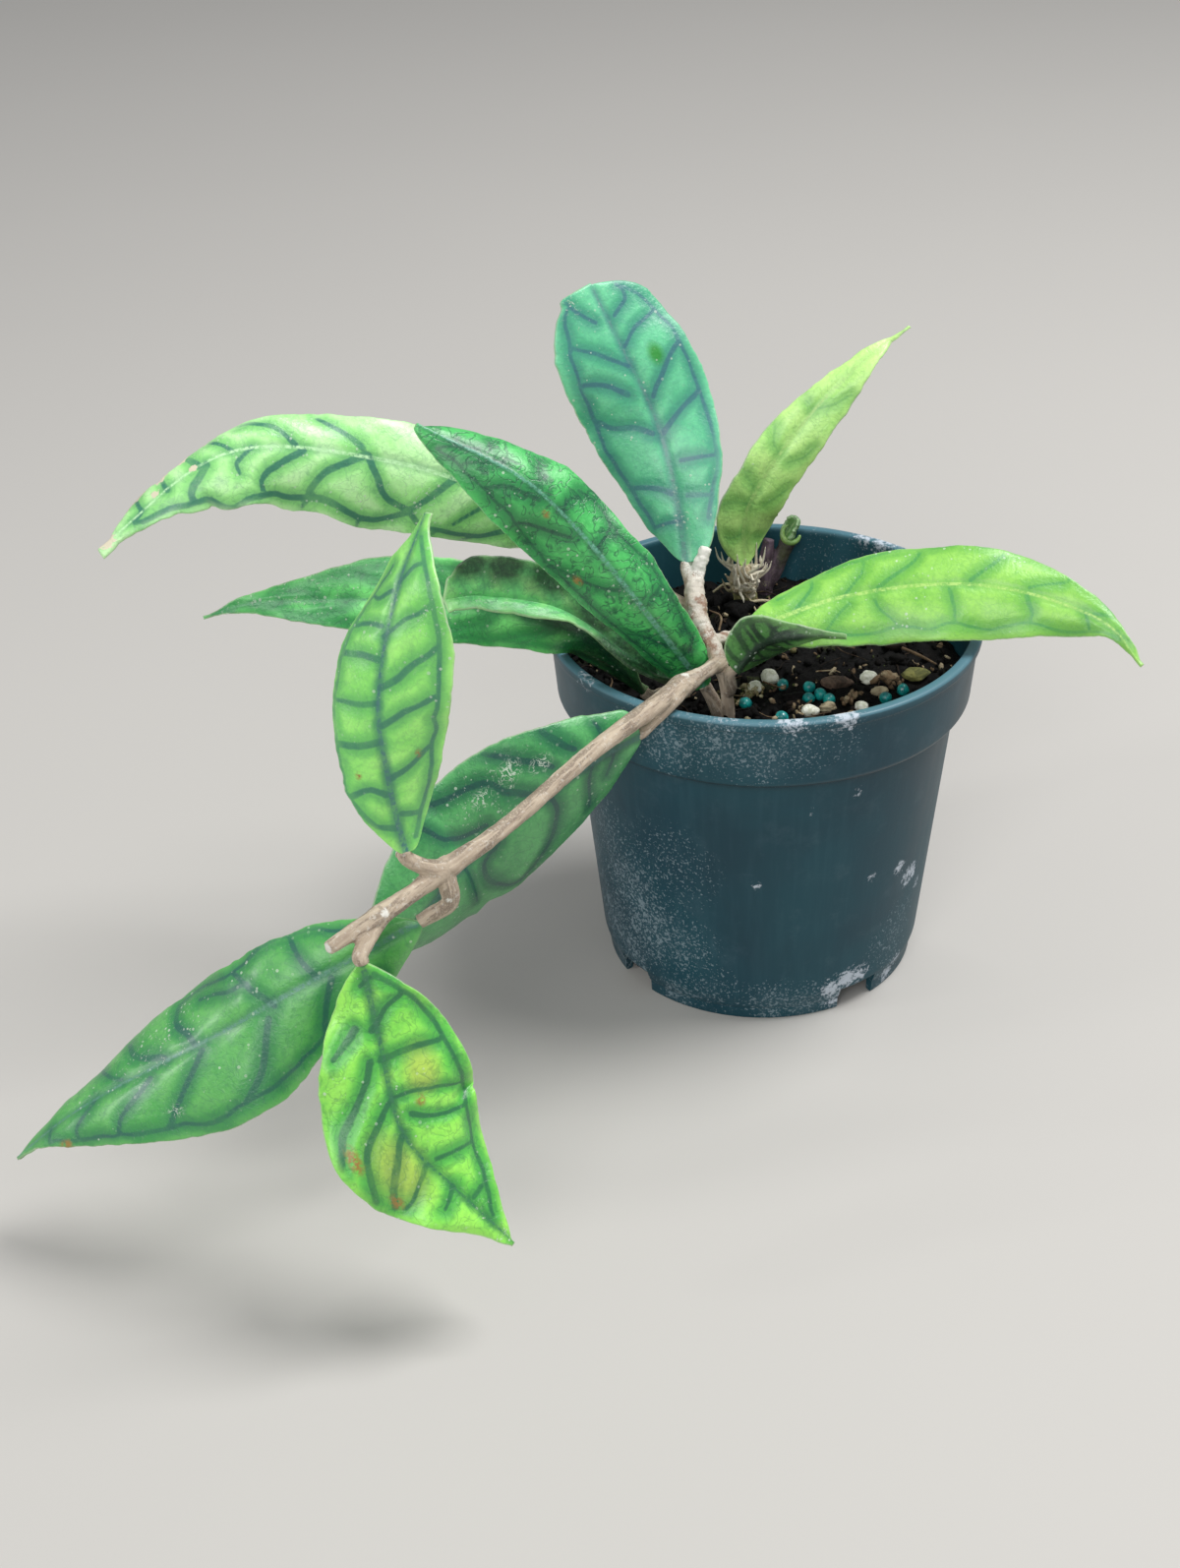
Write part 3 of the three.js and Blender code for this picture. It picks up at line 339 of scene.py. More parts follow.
BACK_SHOOT_LIMBS = [
    ([(-0.8, 35, 60), (-1, 34.5, 79), (-2.2, 33, 85)], [2.4, 3.1, 2.9, 1.8], "leaf_back_pointed"),
]
CUT_PETIOLE_LIMBS = [
    ([(4.5, 41, 62), (4.4, 41.6, 79.7), (5, 42.4, 86), (6, 43.6, 91.8)], [2, 2.6, 2, 1.5]),
    ([(5.2, 41.6, 79.5), (7.8, 42.2, 84), (11.1, 43.5, 91.8)], [2, 1.9, 2.1]),
]
# The torn base of a leaf on the front cut petiole, in the same terms as a leaf
CUT_REMNANT = {
    "midrib": [(10.8, 43.6, 92), (11.4, 43.6, 93.5), (12.2, 43.6, 95), (13, 43.2, 96.4), (13.6, 42.6, 97.6)],
    "face": [(-0.5, -0.6, 0.6), (-0.6, -0.6, 0.5)],
    "shape": (2.8, 0.55, 0.5, 0.4, 1, -70, 0, 0.4, 2),
    "trim_left": [0, 0, 1, -1, 1, 0, 2, -3, 1, 0, 3, -3, 3, 0],
    "trim_right": [0, 0, 0, 1, -2, 0, -1, 2, -2, 1, -2, 3, -4, 0],
    "main_veins": [], "side_veins": [], "relief": 0.1, "underside": "3c6a38",
    "slot": "leaf_pale", "tints": ("3f7a3c", "6f9f5c", "2f5a34", "8fb070"),
    "looks": (0.5, 0.2, 0.3, 0.3, 1),
}
# Each number of a leaf's shape also goes by its own name
for leaf in (*LEAVES.values(), CUT_REMNANT):
    leaf |= zip(LEAF_SHAPE, leaf["shape"])
# Swollen nodes on the vine: place, how far they swell and how far along the stem that reaches
VINE_NODES = [
    ((-23.6, -40.4, 95.7), 0.25, 2.2), ((-13.4, -27.8, 95), 0.35, 2.2), ((-76.8, -102.2, 90), 0.8, 3.2),
    ((-89.3, -112.8, 87), 0.35, 2.4), ((-17.5, -15, 104), 0.6, 2.6), ((-15.6, -22, 99.6), 0.45, 2),
    ((-14.6, -24.8, 97.4), 0.35, 1.6), ((-75.6, -103, 85.4), 0.6, 1.8), ((-16.9, -18.6, 101.8), 0.5, 1.8),
]
# Pale corky scars on the vine: place and radius
VINE_SCARS = [
    ((-22.2, -38.6, 97.4), 1.5), ((-88, -114.6, 88.6), 1.3), ((-99.9, -122.6, 86), 1.5),
    ((-15, -7, 113.2), 7), ((-85.6, -103.6, 95.8), 0.8), ((-75.6, -104.4, 84.5), 0.9),
    ((-17.6, -17, 102.4), 2.4), ((-15.4, -23, 99.4), 1.8), ((-16.6, -20.6, 101), 1.6),
]

BACK_SCARS = [((-2.4, 31.4, 86), 2.6), ((0.4, 32, 83), 2.2)]
CUT_SCARS = [((11.2, 43.6, 91.8), 1.2), ((4.6, 41, 81), 2)]
# Each bark's light streaks, dark patches, pale cork, two tones of its crust, and how strong its patches are
BARKS = {
    "vine_bark": ("c8b8a2", "65574c", "e2dfd6", "846350", "cdc6ba", 0.62),
    "dried_root_finish": ("cdbfa2", "5a5040", "e6decb", "55582f", "7c7c4a", 0.5),
    "purple_petiole_skin": ("6c5a68", "241b1f", "8f8a70", "24261a", "40462a", 0.6),
}
# How many dried roots stand low round the back shoot, and how many stand up in front of it
DRIED_ROOTS = 14
DRIED_SPIKES = 34
ROOT_SEED = 7
SPIKE_SEED = 19
LOOSE_SEED = 23
REMNANT_SEED = 31
# Rings round the swollen nodes
RING_SPACING = 1.7
RING_DEPTH = 0.14
# The finest form of the dried roots' skin
ROOT_VOXEL = 0.26

# Pot sizes
POT_HEIGHT = 92.4
RIM_RADIUS = 52.8
BAND_HEIGHT = 18
LIP_HEIGHT = 2.4
BAND_TOP_RADIUS = 51.8
BAND_FOOT_RADIUS = 50.6
WALL_TOP_RADIUS = 47.2
WALL_FOOT_RADIUS = 39.6
WALL = 1.5
FOOT_RADIUS = 39
FOOT_HEIGHT = 3.9
FOOT_WALL = 1.8
CENTRE_PAD_RADIUS = 12
FLOOR = 2
NOTCHES = 4
NOTCH_WIDTH = 11
NOTCH_DEPTH = 11
NOTCH_ANGLE = -148
POT_SIDES = 256
# The cone, step by step, inside which a point of the pot faces its soil
INNER_HEIGHTS = [4, 74, 76, 92]
INNER_RADII = [38.8, 46.4, 49.6, 51]
# Lime left by water on the pot: place, radius and strength of speckled stretches and of solid crust
LIME_SPECKS = [
    ((-15.5, -49.2, 87), 9, 0.9), ((-26, -43.5, 84), 9, 0.9), ((-6.7, -50.7, 84), 9, 0.8),
    ((3, -51, 86), 8, 0.6), ((-32, -40, 87), 7, 0.8), ((12, -50, 87), 7, 0.35), ((-39.4, -20, 43.7), 12, 0.6),
    ((-35, -24.9, 32.2), 13, 0.9), ((-30.6, -28.9, 22.9), 13, 1), ((-23.7, -34.4, 20.5), 10, 0.7),
    ((-38.5, -15.5, 17.1), 12, 0.9), ((-26, -35.8, 44.7), 12, 0.45), ((-41, -8, 30), 12, 0.6),
    ((-34, -22, 12), 9, 0.9), ((-35.1, -17, 3), 6, 1), ((-23.5, -31.2, 4), 6, 0.9),
    ((-16.6, -37, 8.5), 8, 0.6), ((-1, -40, 5.3), 7, 0.9), ((7.7, -38.9, 4), 7, 0.9), ((15.5, -36, 4), 7, 1),
    ((29.6, -28.7, 15), 8, 0.6), ((32, -27, 21), 6, 0.5), ((29.3, -25.9, 4), 6, 0.9), ((20, 40, 84), 16, 0.2),
    ((36, 30, 84), 14, 0.3), ((34, 24, 10), 16, 0.7), ((-10, 39, 14), 14, 0.6),
]
LIME_CRUST = [
    ((34.1, -26.4, 33), 3.6, 1), ((30.6, -31.1, 38), 2.2, 0.9), ((36.5, -21.5, 27), 2.2, 0.7),
    ((13.9, -37.8, 7.5), 3.6, 1), ((18.2, -36.3, 9.1), 3.8, 1), ((21.6, -34.4, 9.5), 2.8, 0.9),
    ((29.3, -25.9, 3), 3, 0.9), ((31.9, -24.2, 5.6), 2.4, 0.8), ((0.9, -51.3, 92.3), 3.6, 1),
    ((12.8, -49.3, 92.3), 4.2, 1), ((-13, -49, 92.3), 4, 0.5), ((36.7, 38.9, 92.4), 5, 1),
    ((41, 34.4, 92.4), 3.6, 0.9), ((30.7, 41.8, 92.4), 3.6, 0.8), ((22.7, -37.4, 39.8), 1.2, 1),
    ((-5.7, -43.7, 43.2), 1.2, 0.8), ((17.7, -43.1, 67.5), 1.4, 0.7), ((-44, -27, 92.3), 4, 0.5),
    ((7.1, -45.8, 64.9), 0.9, 0.6), ((15.5, -36.5, 2.5), 3, 0.8),
]

# The soil's mean height, the rise to its middle, its gap to the pot's band, and its divisions
SOIL_LEVEL = 79
SOIL_RISE = 1.6
SOIL_GAP = WALL + 0.15
SOIL_SIDES = 280
SOIL_RINGS = 72
# How many of the strewn crumbs are dark, and how many mossy
DARK_SHARE = 0.78
MOSSY_SHARE = 0.06
# How much of a loose piece's height is sunk in the soil
SUNK_SHARE = 0.65
# Where each bead lies, and where each granule lies with its radii
FERTILISER_BEADS = [
    (3.5, -12.5), (9.7, -14), (8.9, -18.8), (12, -17), (13.6, -20.8),
    (-6.3, -20.6), (1.6, -27.2), (27.2, -20.4), (31.8, -17),
]
BEAD_RADIUS = 1.5
PERLITE = [
    ((0.8, -8.3), (2.1, 2.1, 2.1)), ((-3.2, -13.6), (1.7, 2, 1.5)), ((24.4, -10.6), (2.2, 1.8, 1.6)),
    ((21, -23.4), (1.7, 1.5, 1.4)), ((8.4, -26.4), (2.2, 1.5, 1.4)),
]
# Place and radii of each chip of bark, and its lighter and its darker tone
BARK_CHIPS = [
    ((16.6, -12.4), (4, 2.4, 1.5), "6b5648", "33281f"), ((21, 37.5), (4.6, 3.2, 2), "857c6c", "453d32"),
    ((36.5, -9), (3.6, 2.6, 1.2), "7c7a42", "474c28"),
]
# Loose lumps close together: place, spread, number, size, tone and how mossy they are
SOIL_CLUSTERS = [
    ((-4.5, -14.6), 3.2, 60, 0.55, 0.92, 0.7), ((-7.5, -19.5), 2.2, 14, 0.5, 0.8, 0.4),
    ((19.5, -21), 2.4, 16, 0.7, 0.75, 0), ((6, -25), 3, 14, 0.7, 0.85, 0.1), ((30, -13), 3, 12, 0.8, 0.7, 0),
    ((-12, -18), 3, 16, 0.7, 0.5, 0.5), ((2, 20), 4, 20, 0.8, 0.35, 0.5), ((-8, 8), 4, 18, 0.8, 0.5, 0.4),
    ((14, 30), 4, 16, 0.9, 0.7, 0),
]
# Coarse lumps in the soil: place, radii and tone from dark to tan
SOIL_CHUNKS = [
    ((26.2, -15.8), (2, 1.5, 1.2), 0.9), ((29.8, -9.5), (2.4, 1.6, 1.1), 0.75),
    ((12.6, -24), (2.2, 1.4, 1.1), 0.9), ((17, -27), (2.6, 1.5, 1.1), 0.8),
    ((5.2, -18.8), (2.8, 2, 1.2), 0.12), ((4.2, -22.6), (2.4, 1.6, 1), 0.3),
    ((13, 33), (3.4, 2.4, 1.8), 0.75), ((29, 34), (3, 2.4, 1.6), 0.6), ((9, 26), (3.6, 2.6, 1.8), 0.2),
    ((-4, 26.5), (4.2, 3, 2.2), 0.1), ((-16, 22), (2.6, 2, 1.4), 0.45), ((-20, 10), (2.4, 2, 1.3), 0.3),
    ((22, 12), (2.6, 2, 1.3), 0.3), ((34, 6), (2.8, 2, 1.4), 0.35), ((-34, 14), (2.8, 2, 1.4), 0.5),
    ((-3.5, 12), (2.2, 1.8, 1.2), 0.4), ((-30, -24), (2.4, 1.8, 1.2), 0.4),
    ((33.5, -2.5), (2.4, 2, 1.2), 0.15),
]
# Thin roots that lie on the soil: path, radius and tone
ROOTLETS = [
    ([(-9, 37, 80.6), (-5.5, 36, 83.2), (-1.2, 30.5, 82.8), (1.2, 24.5, 80.4)], 0.36, 0.92),
    ([(-1.8, 29.5, 80.8), (3, 29.8, 81.2), (8, 29, 80.6)], 0.42, 1.0),
    ([(34, -1, 82.4), (38, -3.4, 81.4), (41.5, -6.6, 80.6)], 0.4, 0.6),
    ([(-14, 16, 80.6), (-12, 22, 82), (-15, 28, 80.8)], 0.35, 0.85),
    ([(-9.5, 15, 80.8), (-8.6, 20, 82.2), (-11, 26, 81)], 0.3, 0.7),
]

# The lamps: name, place and what each points at in metres, size and power
LIGHTS = [
    ("key_light", (0.6, 0.05, 1.3), (-0.03, -0.04, 0.08), 0.7, 19.0),
    ("front_light", (-0.5, -1.5, 1.0), (-0.03, -0.06, 0.08), 0.9, 11.0),
    ("side_light", (-1.1, -0.3, 0.5), (0, 0, 0.06), 0.2, 2.6),
]
AMBIENT_TINT = (0.93, 0.96, 1.0, 1)
AMBIENT_STRENGTH = 0.32
FLOOR_HALF = 6
# The camera: its place in metres, its turns in radians and its focal length in millimetres
CAMERA_PLACE = (-0.0564, -0.502, 0.3539)
CAMERA_YAW = 0.026
CAMERA_PITCH = 0.549
CAMERA_ROLL = -0.03
CAMERA_LENS = 53.57


def linear(code):
    """The linear colour of an sRGB hex code."""
    values = [int(code[i : i + 2], 16) / 255 for i in (0, 2, 4)]
    return [v / 12.92 if v <= 0.04045 else ((v + 0.055) / 1.055) ** 2.4 for v in values]


# Curves, noise and meshes


def curve_points(points, places):
    """Points along the smooth curve through the given points, at places from 0 to 1."""
    knots = np.asarray(points, float)
    last = len(knots) - 1
    padded = np.vstack([2 * knots[0] - knots[1], knots, 2 * knots[-1] - knots[-2]])
    spot = np.clip(np.asarray(places, float) * last, 0, last)
    at = np.minimum(spot.astype(int), last - 1)
    w = (spot - at)[:, None]
    a, b, c, d = padded[at], padded[at + 1], padded[at + 2], padded[at + 3]
    start, end = (c - a) / 2, (d - b) / 2
    return b + start * w + (3 * (c - b) - 2 * start - end) * w**2 + (2 * (b - c) + start + end) * w**3


def curve_headings(points, places):
    """The direction of the same curve at those places."""
    places = np.asarray(places, float)
    before, after = np.maximum(0, places - 1e-4), np.minimum(1, places + 1e-4)
    ahead = curve_points(points, after) - curve_points(points, before)
    return ahead / np.linalg.norm(ahead, axis=1)[:, None]


def unit(vectors):
    return vectors / np.maximum(1e-9, np.linalg.norm(vectors, axis=-1))[..., None]


def bell(gap):
    """1 where the gap is 0, and less to either side."""
    return np.exp(-(gap**2))


def lengths_along(points):
    """The distance from the first point to each, along the path."""
    return np.concatenate([[0], np.cumsum(np.linalg.norm(np.diff(points, axis=0), axis=1))])


def angles_round(sides):
    return np.linspace(0, 2 * np.pi, sides, endpoint=False)


def circle(radius, height, sides):
    """Points of a level circle round the axis."""
    angles = angles_round(sides)
    return np.column_stack([radius * np.cos(angles), radius * np.sin(angles), np.full(sides, height)])


def level(angle):
    """The level direction at an angle."""
    return np.array([math.cos(angle), math.sin(angle), 0])


def patched(points, patches, core, fall, stretch=1.0):
    """A mask from 0 to 1 that is strong near the patches, each given as its place and its radius."""
    mask = np.zeros(len(points))
    for place, radius in patches:
        gap = np.linalg.norm((points - np.array(place)) * stretch, axis=1)
        mask = np.maximum(mask, np.clip(core - fall * gap / radius, 0, 1))
    return mask


def lattice_value(cell, seed):
    """A number from 0 to 1 that belongs to each cell of a 3-D lattice."""
    n = cell[..., 0] * 73856093 ^ cell[..., 1] * 19349663 ^ cell[..., 2] * 83492791 ^ (seed * 2654435761)
    n = n & 0x7FFFFFFF
    n = ((n >> 13) ^ n) * 1274126177 & 0x7FFFFFFF
    n = ((n >> 15) ^ n) * 668265263 & 0x7FFFFFFF
    return ((n >> 8) & 0xFFFF) / 65535.0


def noise(points, scale, seed):
    """Smooth noise from -1 to 1 at points, with features about scale across."""
    p = np.asarray(points, float) / scale
    cell = np.floor(p).astype(np.int64)
    f = p - cell
    f = f * f * (3 - 2 * f)
    total = 0
    for corner in np.ndindex(2, 2, 2):
        x, y, z = (f[..., k] if far else 1 - f[..., k] for k, far in enumerate(corner))
        total = total + x * y * z * lattice_value(cell + np.array(corner), seed)
    return 2 * total - 1


def rough_noise(points, scale, seed, octaves=4, fade=0.5):
    """Noise with finer and weaker noise added to it."""
    return sum(fade**k * noise(points, scale / 2**k, seed + k) for k in range(octaves))


def add_field(piece, key, values):
    """Gives each point of a mesh its own value, or its own place, for a material to read."""
    values = np.asarray(values, np.float32)
    kind, part = ("FLOAT_VECTOR", "vector") if values.ndim == 2 else ("FLOAT", "value")
    piece.data.attributes.new(key, kind, "POINT").data.foreach_set(part, values.ravel())


def new_piece(name, points, faces, fields=None):
    """An object from points in millimetres and faces, with a value per point for each named field."""
    mesh = bpy.data.meshes.new(name)
    mesh.from_pydata((np.asarray(points) * MM).tolist(), [], faces)
    mesh.validate()
    mesh.polygons.foreach_set("use_smooth", np.ones(len(mesh.polygons), bool))
    mesh.update()
    piece = bpy.data.objects.new(name, mesh)
    bpy.context.scene.collection.objects.link(piece)
    for key, values in (fields or {}).items():
        add_field(piece, key, values)
    return piece


def face_outwards(piece):
    """Turns every face's front to the outside of its closed shell."""
    shell = bmesh.new()
    shell.from_mesh(piece.data)
    bmesh.ops.recalc_face_normals(shell, faces=shell.faces)
    shell.to_mesh(piece.data)
    shell.free()


def applied(piece):
    """The piece with its modifiers worked into its mesh."""
    graph = bpy.context.evaluated_depsgraph_get()
    graph.update()
    mesh = bpy.data.meshes.new_from_object(piece.evaluated_get(graph))
    piece.modifiers.clear()
    old = piece.data
    piece.data = mesh
    mesh.name = old.name
    bpy.data.meshes.remove(old)
    return piece


def finish_piece(piece, material, slot, *nodes):
    """Gives a piece its material, its body and the nodes that it stands for."""
    if not piece.data.polygons:
        raise RuntimeError(f"{piece.name} has no faces")
    piece.data.materials.clear()
    piece.data.materials.append(material)
    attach(piece, "root")
    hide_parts(*nodes)


# Material nodes


class Tree:
    """Adds nodes to a node tree. An input may be a socket or a constant."""

    def __init__(self, tree):
        self.tree = tree

    def add(self, kind, **settings):
        node = self.tree.nodes.new(kind)
        for key, value in settings.items():
            setattr(node, key, value)
        return node

    def feed(self, socket, value):
        if isinstance(value, bpy.types.NodeSocket):
            self.tree.links.new(value, socket)
        else:
            socket.default_value = (*linear(value), 1) if isinstance(value, str) else value

    def math(self, operation, a, b=0.0, clamp=False):
        node = self.add("ShaderNodeMath", operation=operation, use_clamp=clamp)
        self.feed(node.inputs[0], a)
        self.feed(node.inputs[1], b)
        return node.outputs[0]

    def times(self, a, b):
        return self.math("MULTIPLY", a, b)

    def plus(self, a, b, clamp=False):
        return self.math("ADD", a, b, clamp)

    def less(self, a, b):
        return self.math("SUBTRACT", a, b)

    def most(self, a, b, clamp=False):
        return self.math("MAXIMUM", a, b, clamp)

    def strayed(self, value, texture, size):
        """A value moved up and down by a texture around one half."""
        return self.plus(value, self.times(self.less(texture, 0.5), size))

    def mix(self, factor, a, b):
        node = self.add("ShaderNodeMix", data_type="RGBA")
        self.feed(node.inputs[0], factor)
        self.feed(node.inputs[6], a)
        self.feed(node.inputs[7], b)
        return node.outputs[2]

    def ramp(self, value, low, high, start=0.0, end=1.0):
        """A soft step from start to end while the value goes from low to high."""
        node = self.add("ShaderNodeMapRange", interpolation_type="SMOOTHSTEP")
        for socket, given in zip(node.inputs, (value, low, high, start, end)):
            self.feed(socket, given)
        return node.outputs[0]

    def field(self, name, output="Fac"):
        return self.add("ShaderNodeAttribute", attribute_name=name).outputs[output]

    def place(self):
        return self.add("ShaderNodeTexCoord").outputs["Object"]

    def stretched(self, vector, scale):
        node = self.add("ShaderNodeMapping")
        self.feed(node.inputs["Vector"], vector)
        self.feed(node.inputs["Scale"], scale)
        return node.outputs[0]

    def texture(self, kind, vector, scale, **values):
        node = self.add(kind)
        for key, value in {"Vector": vector, "Scale": scale, **values}.items():
            self.feed(node.inputs[key], value)
        return node

    def noise(self, vector, scale, detail, roughness=0.55, distortion=0.0):
        values = {"Detail": detail, "Roughness": roughness, "Distortion": distortion}
        return self.texture("ShaderNodeTexNoise", vector, scale, **values).outputs[0]

    def cells(self, vector, scale, output="Distance"):
        return self.texture("ShaderNodeTexVoronoi", vector, scale).outputs[output]

    def layered(self, colour, *layers):
        """A colour with others laid over it, each given as its mask and its own colour."""
        for mask, over in layers:
            colour = self.mix(mask, colour, over)
        return colour

    def mottle(self, scale, fine_scale):
        return self.group("natural_mottle", Scale=scale, Fine_Scale=fine_scale).outputs

    def specks(self, scale, size, amount):
        return self.group("scattered_specks", Scale=scale, Size=size, Amount=amount).outputs[0]

    def group(self, name, **values):
        """A shared node group with its own values, built when it is first needed."""
        if name not in bpy.data.node_groups:
            GROUP_BUILDERS[name]()
        node = self.add("ShaderNodeGroup", node_tree=bpy.data.node_groups[name])
        for key, value in values.items():
            self.feed(node.inputs[key.replace("_", " ")], value)
        return node


FLOAT, COLOUR = "NodeSocketFloat", "NodeSocketColor"


def new_group(name, inputs, outputs):
    """A shader node group with named sockets: returns its tree, and its input and output nodes."""
    group = bpy.data.node_groups.new(name, "ShaderNodeTree")
    for label, kind, default in inputs:
        socket = group.interface.new_socket(label, in_out="INPUT", socket_type=kind)
        socket.default_value = (*linear(default), 1) if kind == COLOUR else default
    for label, kind in outputs:
        group.interface.new_socket(label, in_out="OUTPUT", socket_type=kind)
    tree = Tree(group)
    return tree, tree.add("NodeGroupInput").outputs, tree.add("NodeGroupOutput").inputs


def new_material(name):
    """A material with one Principled shader: returns it, its tree and the shader."""
    material = bpy.data.materials.new(name)
    material.use_nodes = True
    tree = Tree(material.node_tree)
    shader = next(n for n in material.node_tree.nodes if n.type == "BSDF_PRINCIPLED")
    return material, tree, shader


def dress(tree, shader, colour, roughness, height, strength, distance):
    """Feeds a shader its colour, its roughness and its low relief."""
    bump = tree.add("ShaderNodeBump")
    bump.inputs["Strength"].default_value = strength
    bump.inputs["Distance"].default_value = distance
    tree.feed(bump.inputs["Height"], height)
    tree.feed(shader.inputs["Base Color"], colour)
    tree.feed(shader.inputs["Roughness"], roughness)
    tree.feed(shader.inputs["Normal"], bump.outputs[0])


def build_specks_group():
    """Fine specks, scattered in patches."""
    inputs = [("Scale", FLOAT, 900.0), ("Size", FLOAT, 0.3), ("Amount", FLOAT, 0.5)]
    tree, given, out = new_group("scattered_specks", inputs, [("Mask", FLOAT)])
    place = tree.place()
    chance = tree.add("ShaderNodeSeparateColor")
    tree.feed(chance.inputs[0], tree.cells(place, given["Scale"], output="Color"))
    chosen = tree.math("LESS_THAN", chance.outputs[0], given["Amount"])
    size = tree.times(given["Size"], chance.outputs[1])
    dot = tree.math("LESS_THAN", tree.cells(place, given["Scale"]), size)
    patches = tree.ramp(tree.noise(place, 60.0, 3), 0.42, 0.62)
    tree.feed(out["Mask"], tree.times(tree.times(dot, chosen), patches))


def build_mottle_group():
    """Soft and fine unevenness of a natural surface, both around one half."""
    inputs = [("Scale", FLOAT, 60.0), ("Fine Scale", FLOAT, 600.0)]
    tree, given, out = new_group("natural_mottle", inputs, [("Soft", FLOAT), ("Fine", FLOAT)])
    place = tree.place()
    tree.feed(out["Soft"], tree.noise(place, given["Scale"], 4, 0.55, 0.4))
    tree.feed(out["Fine"], tree.noise(place, given["Fine Scale"], 5, 0.6))


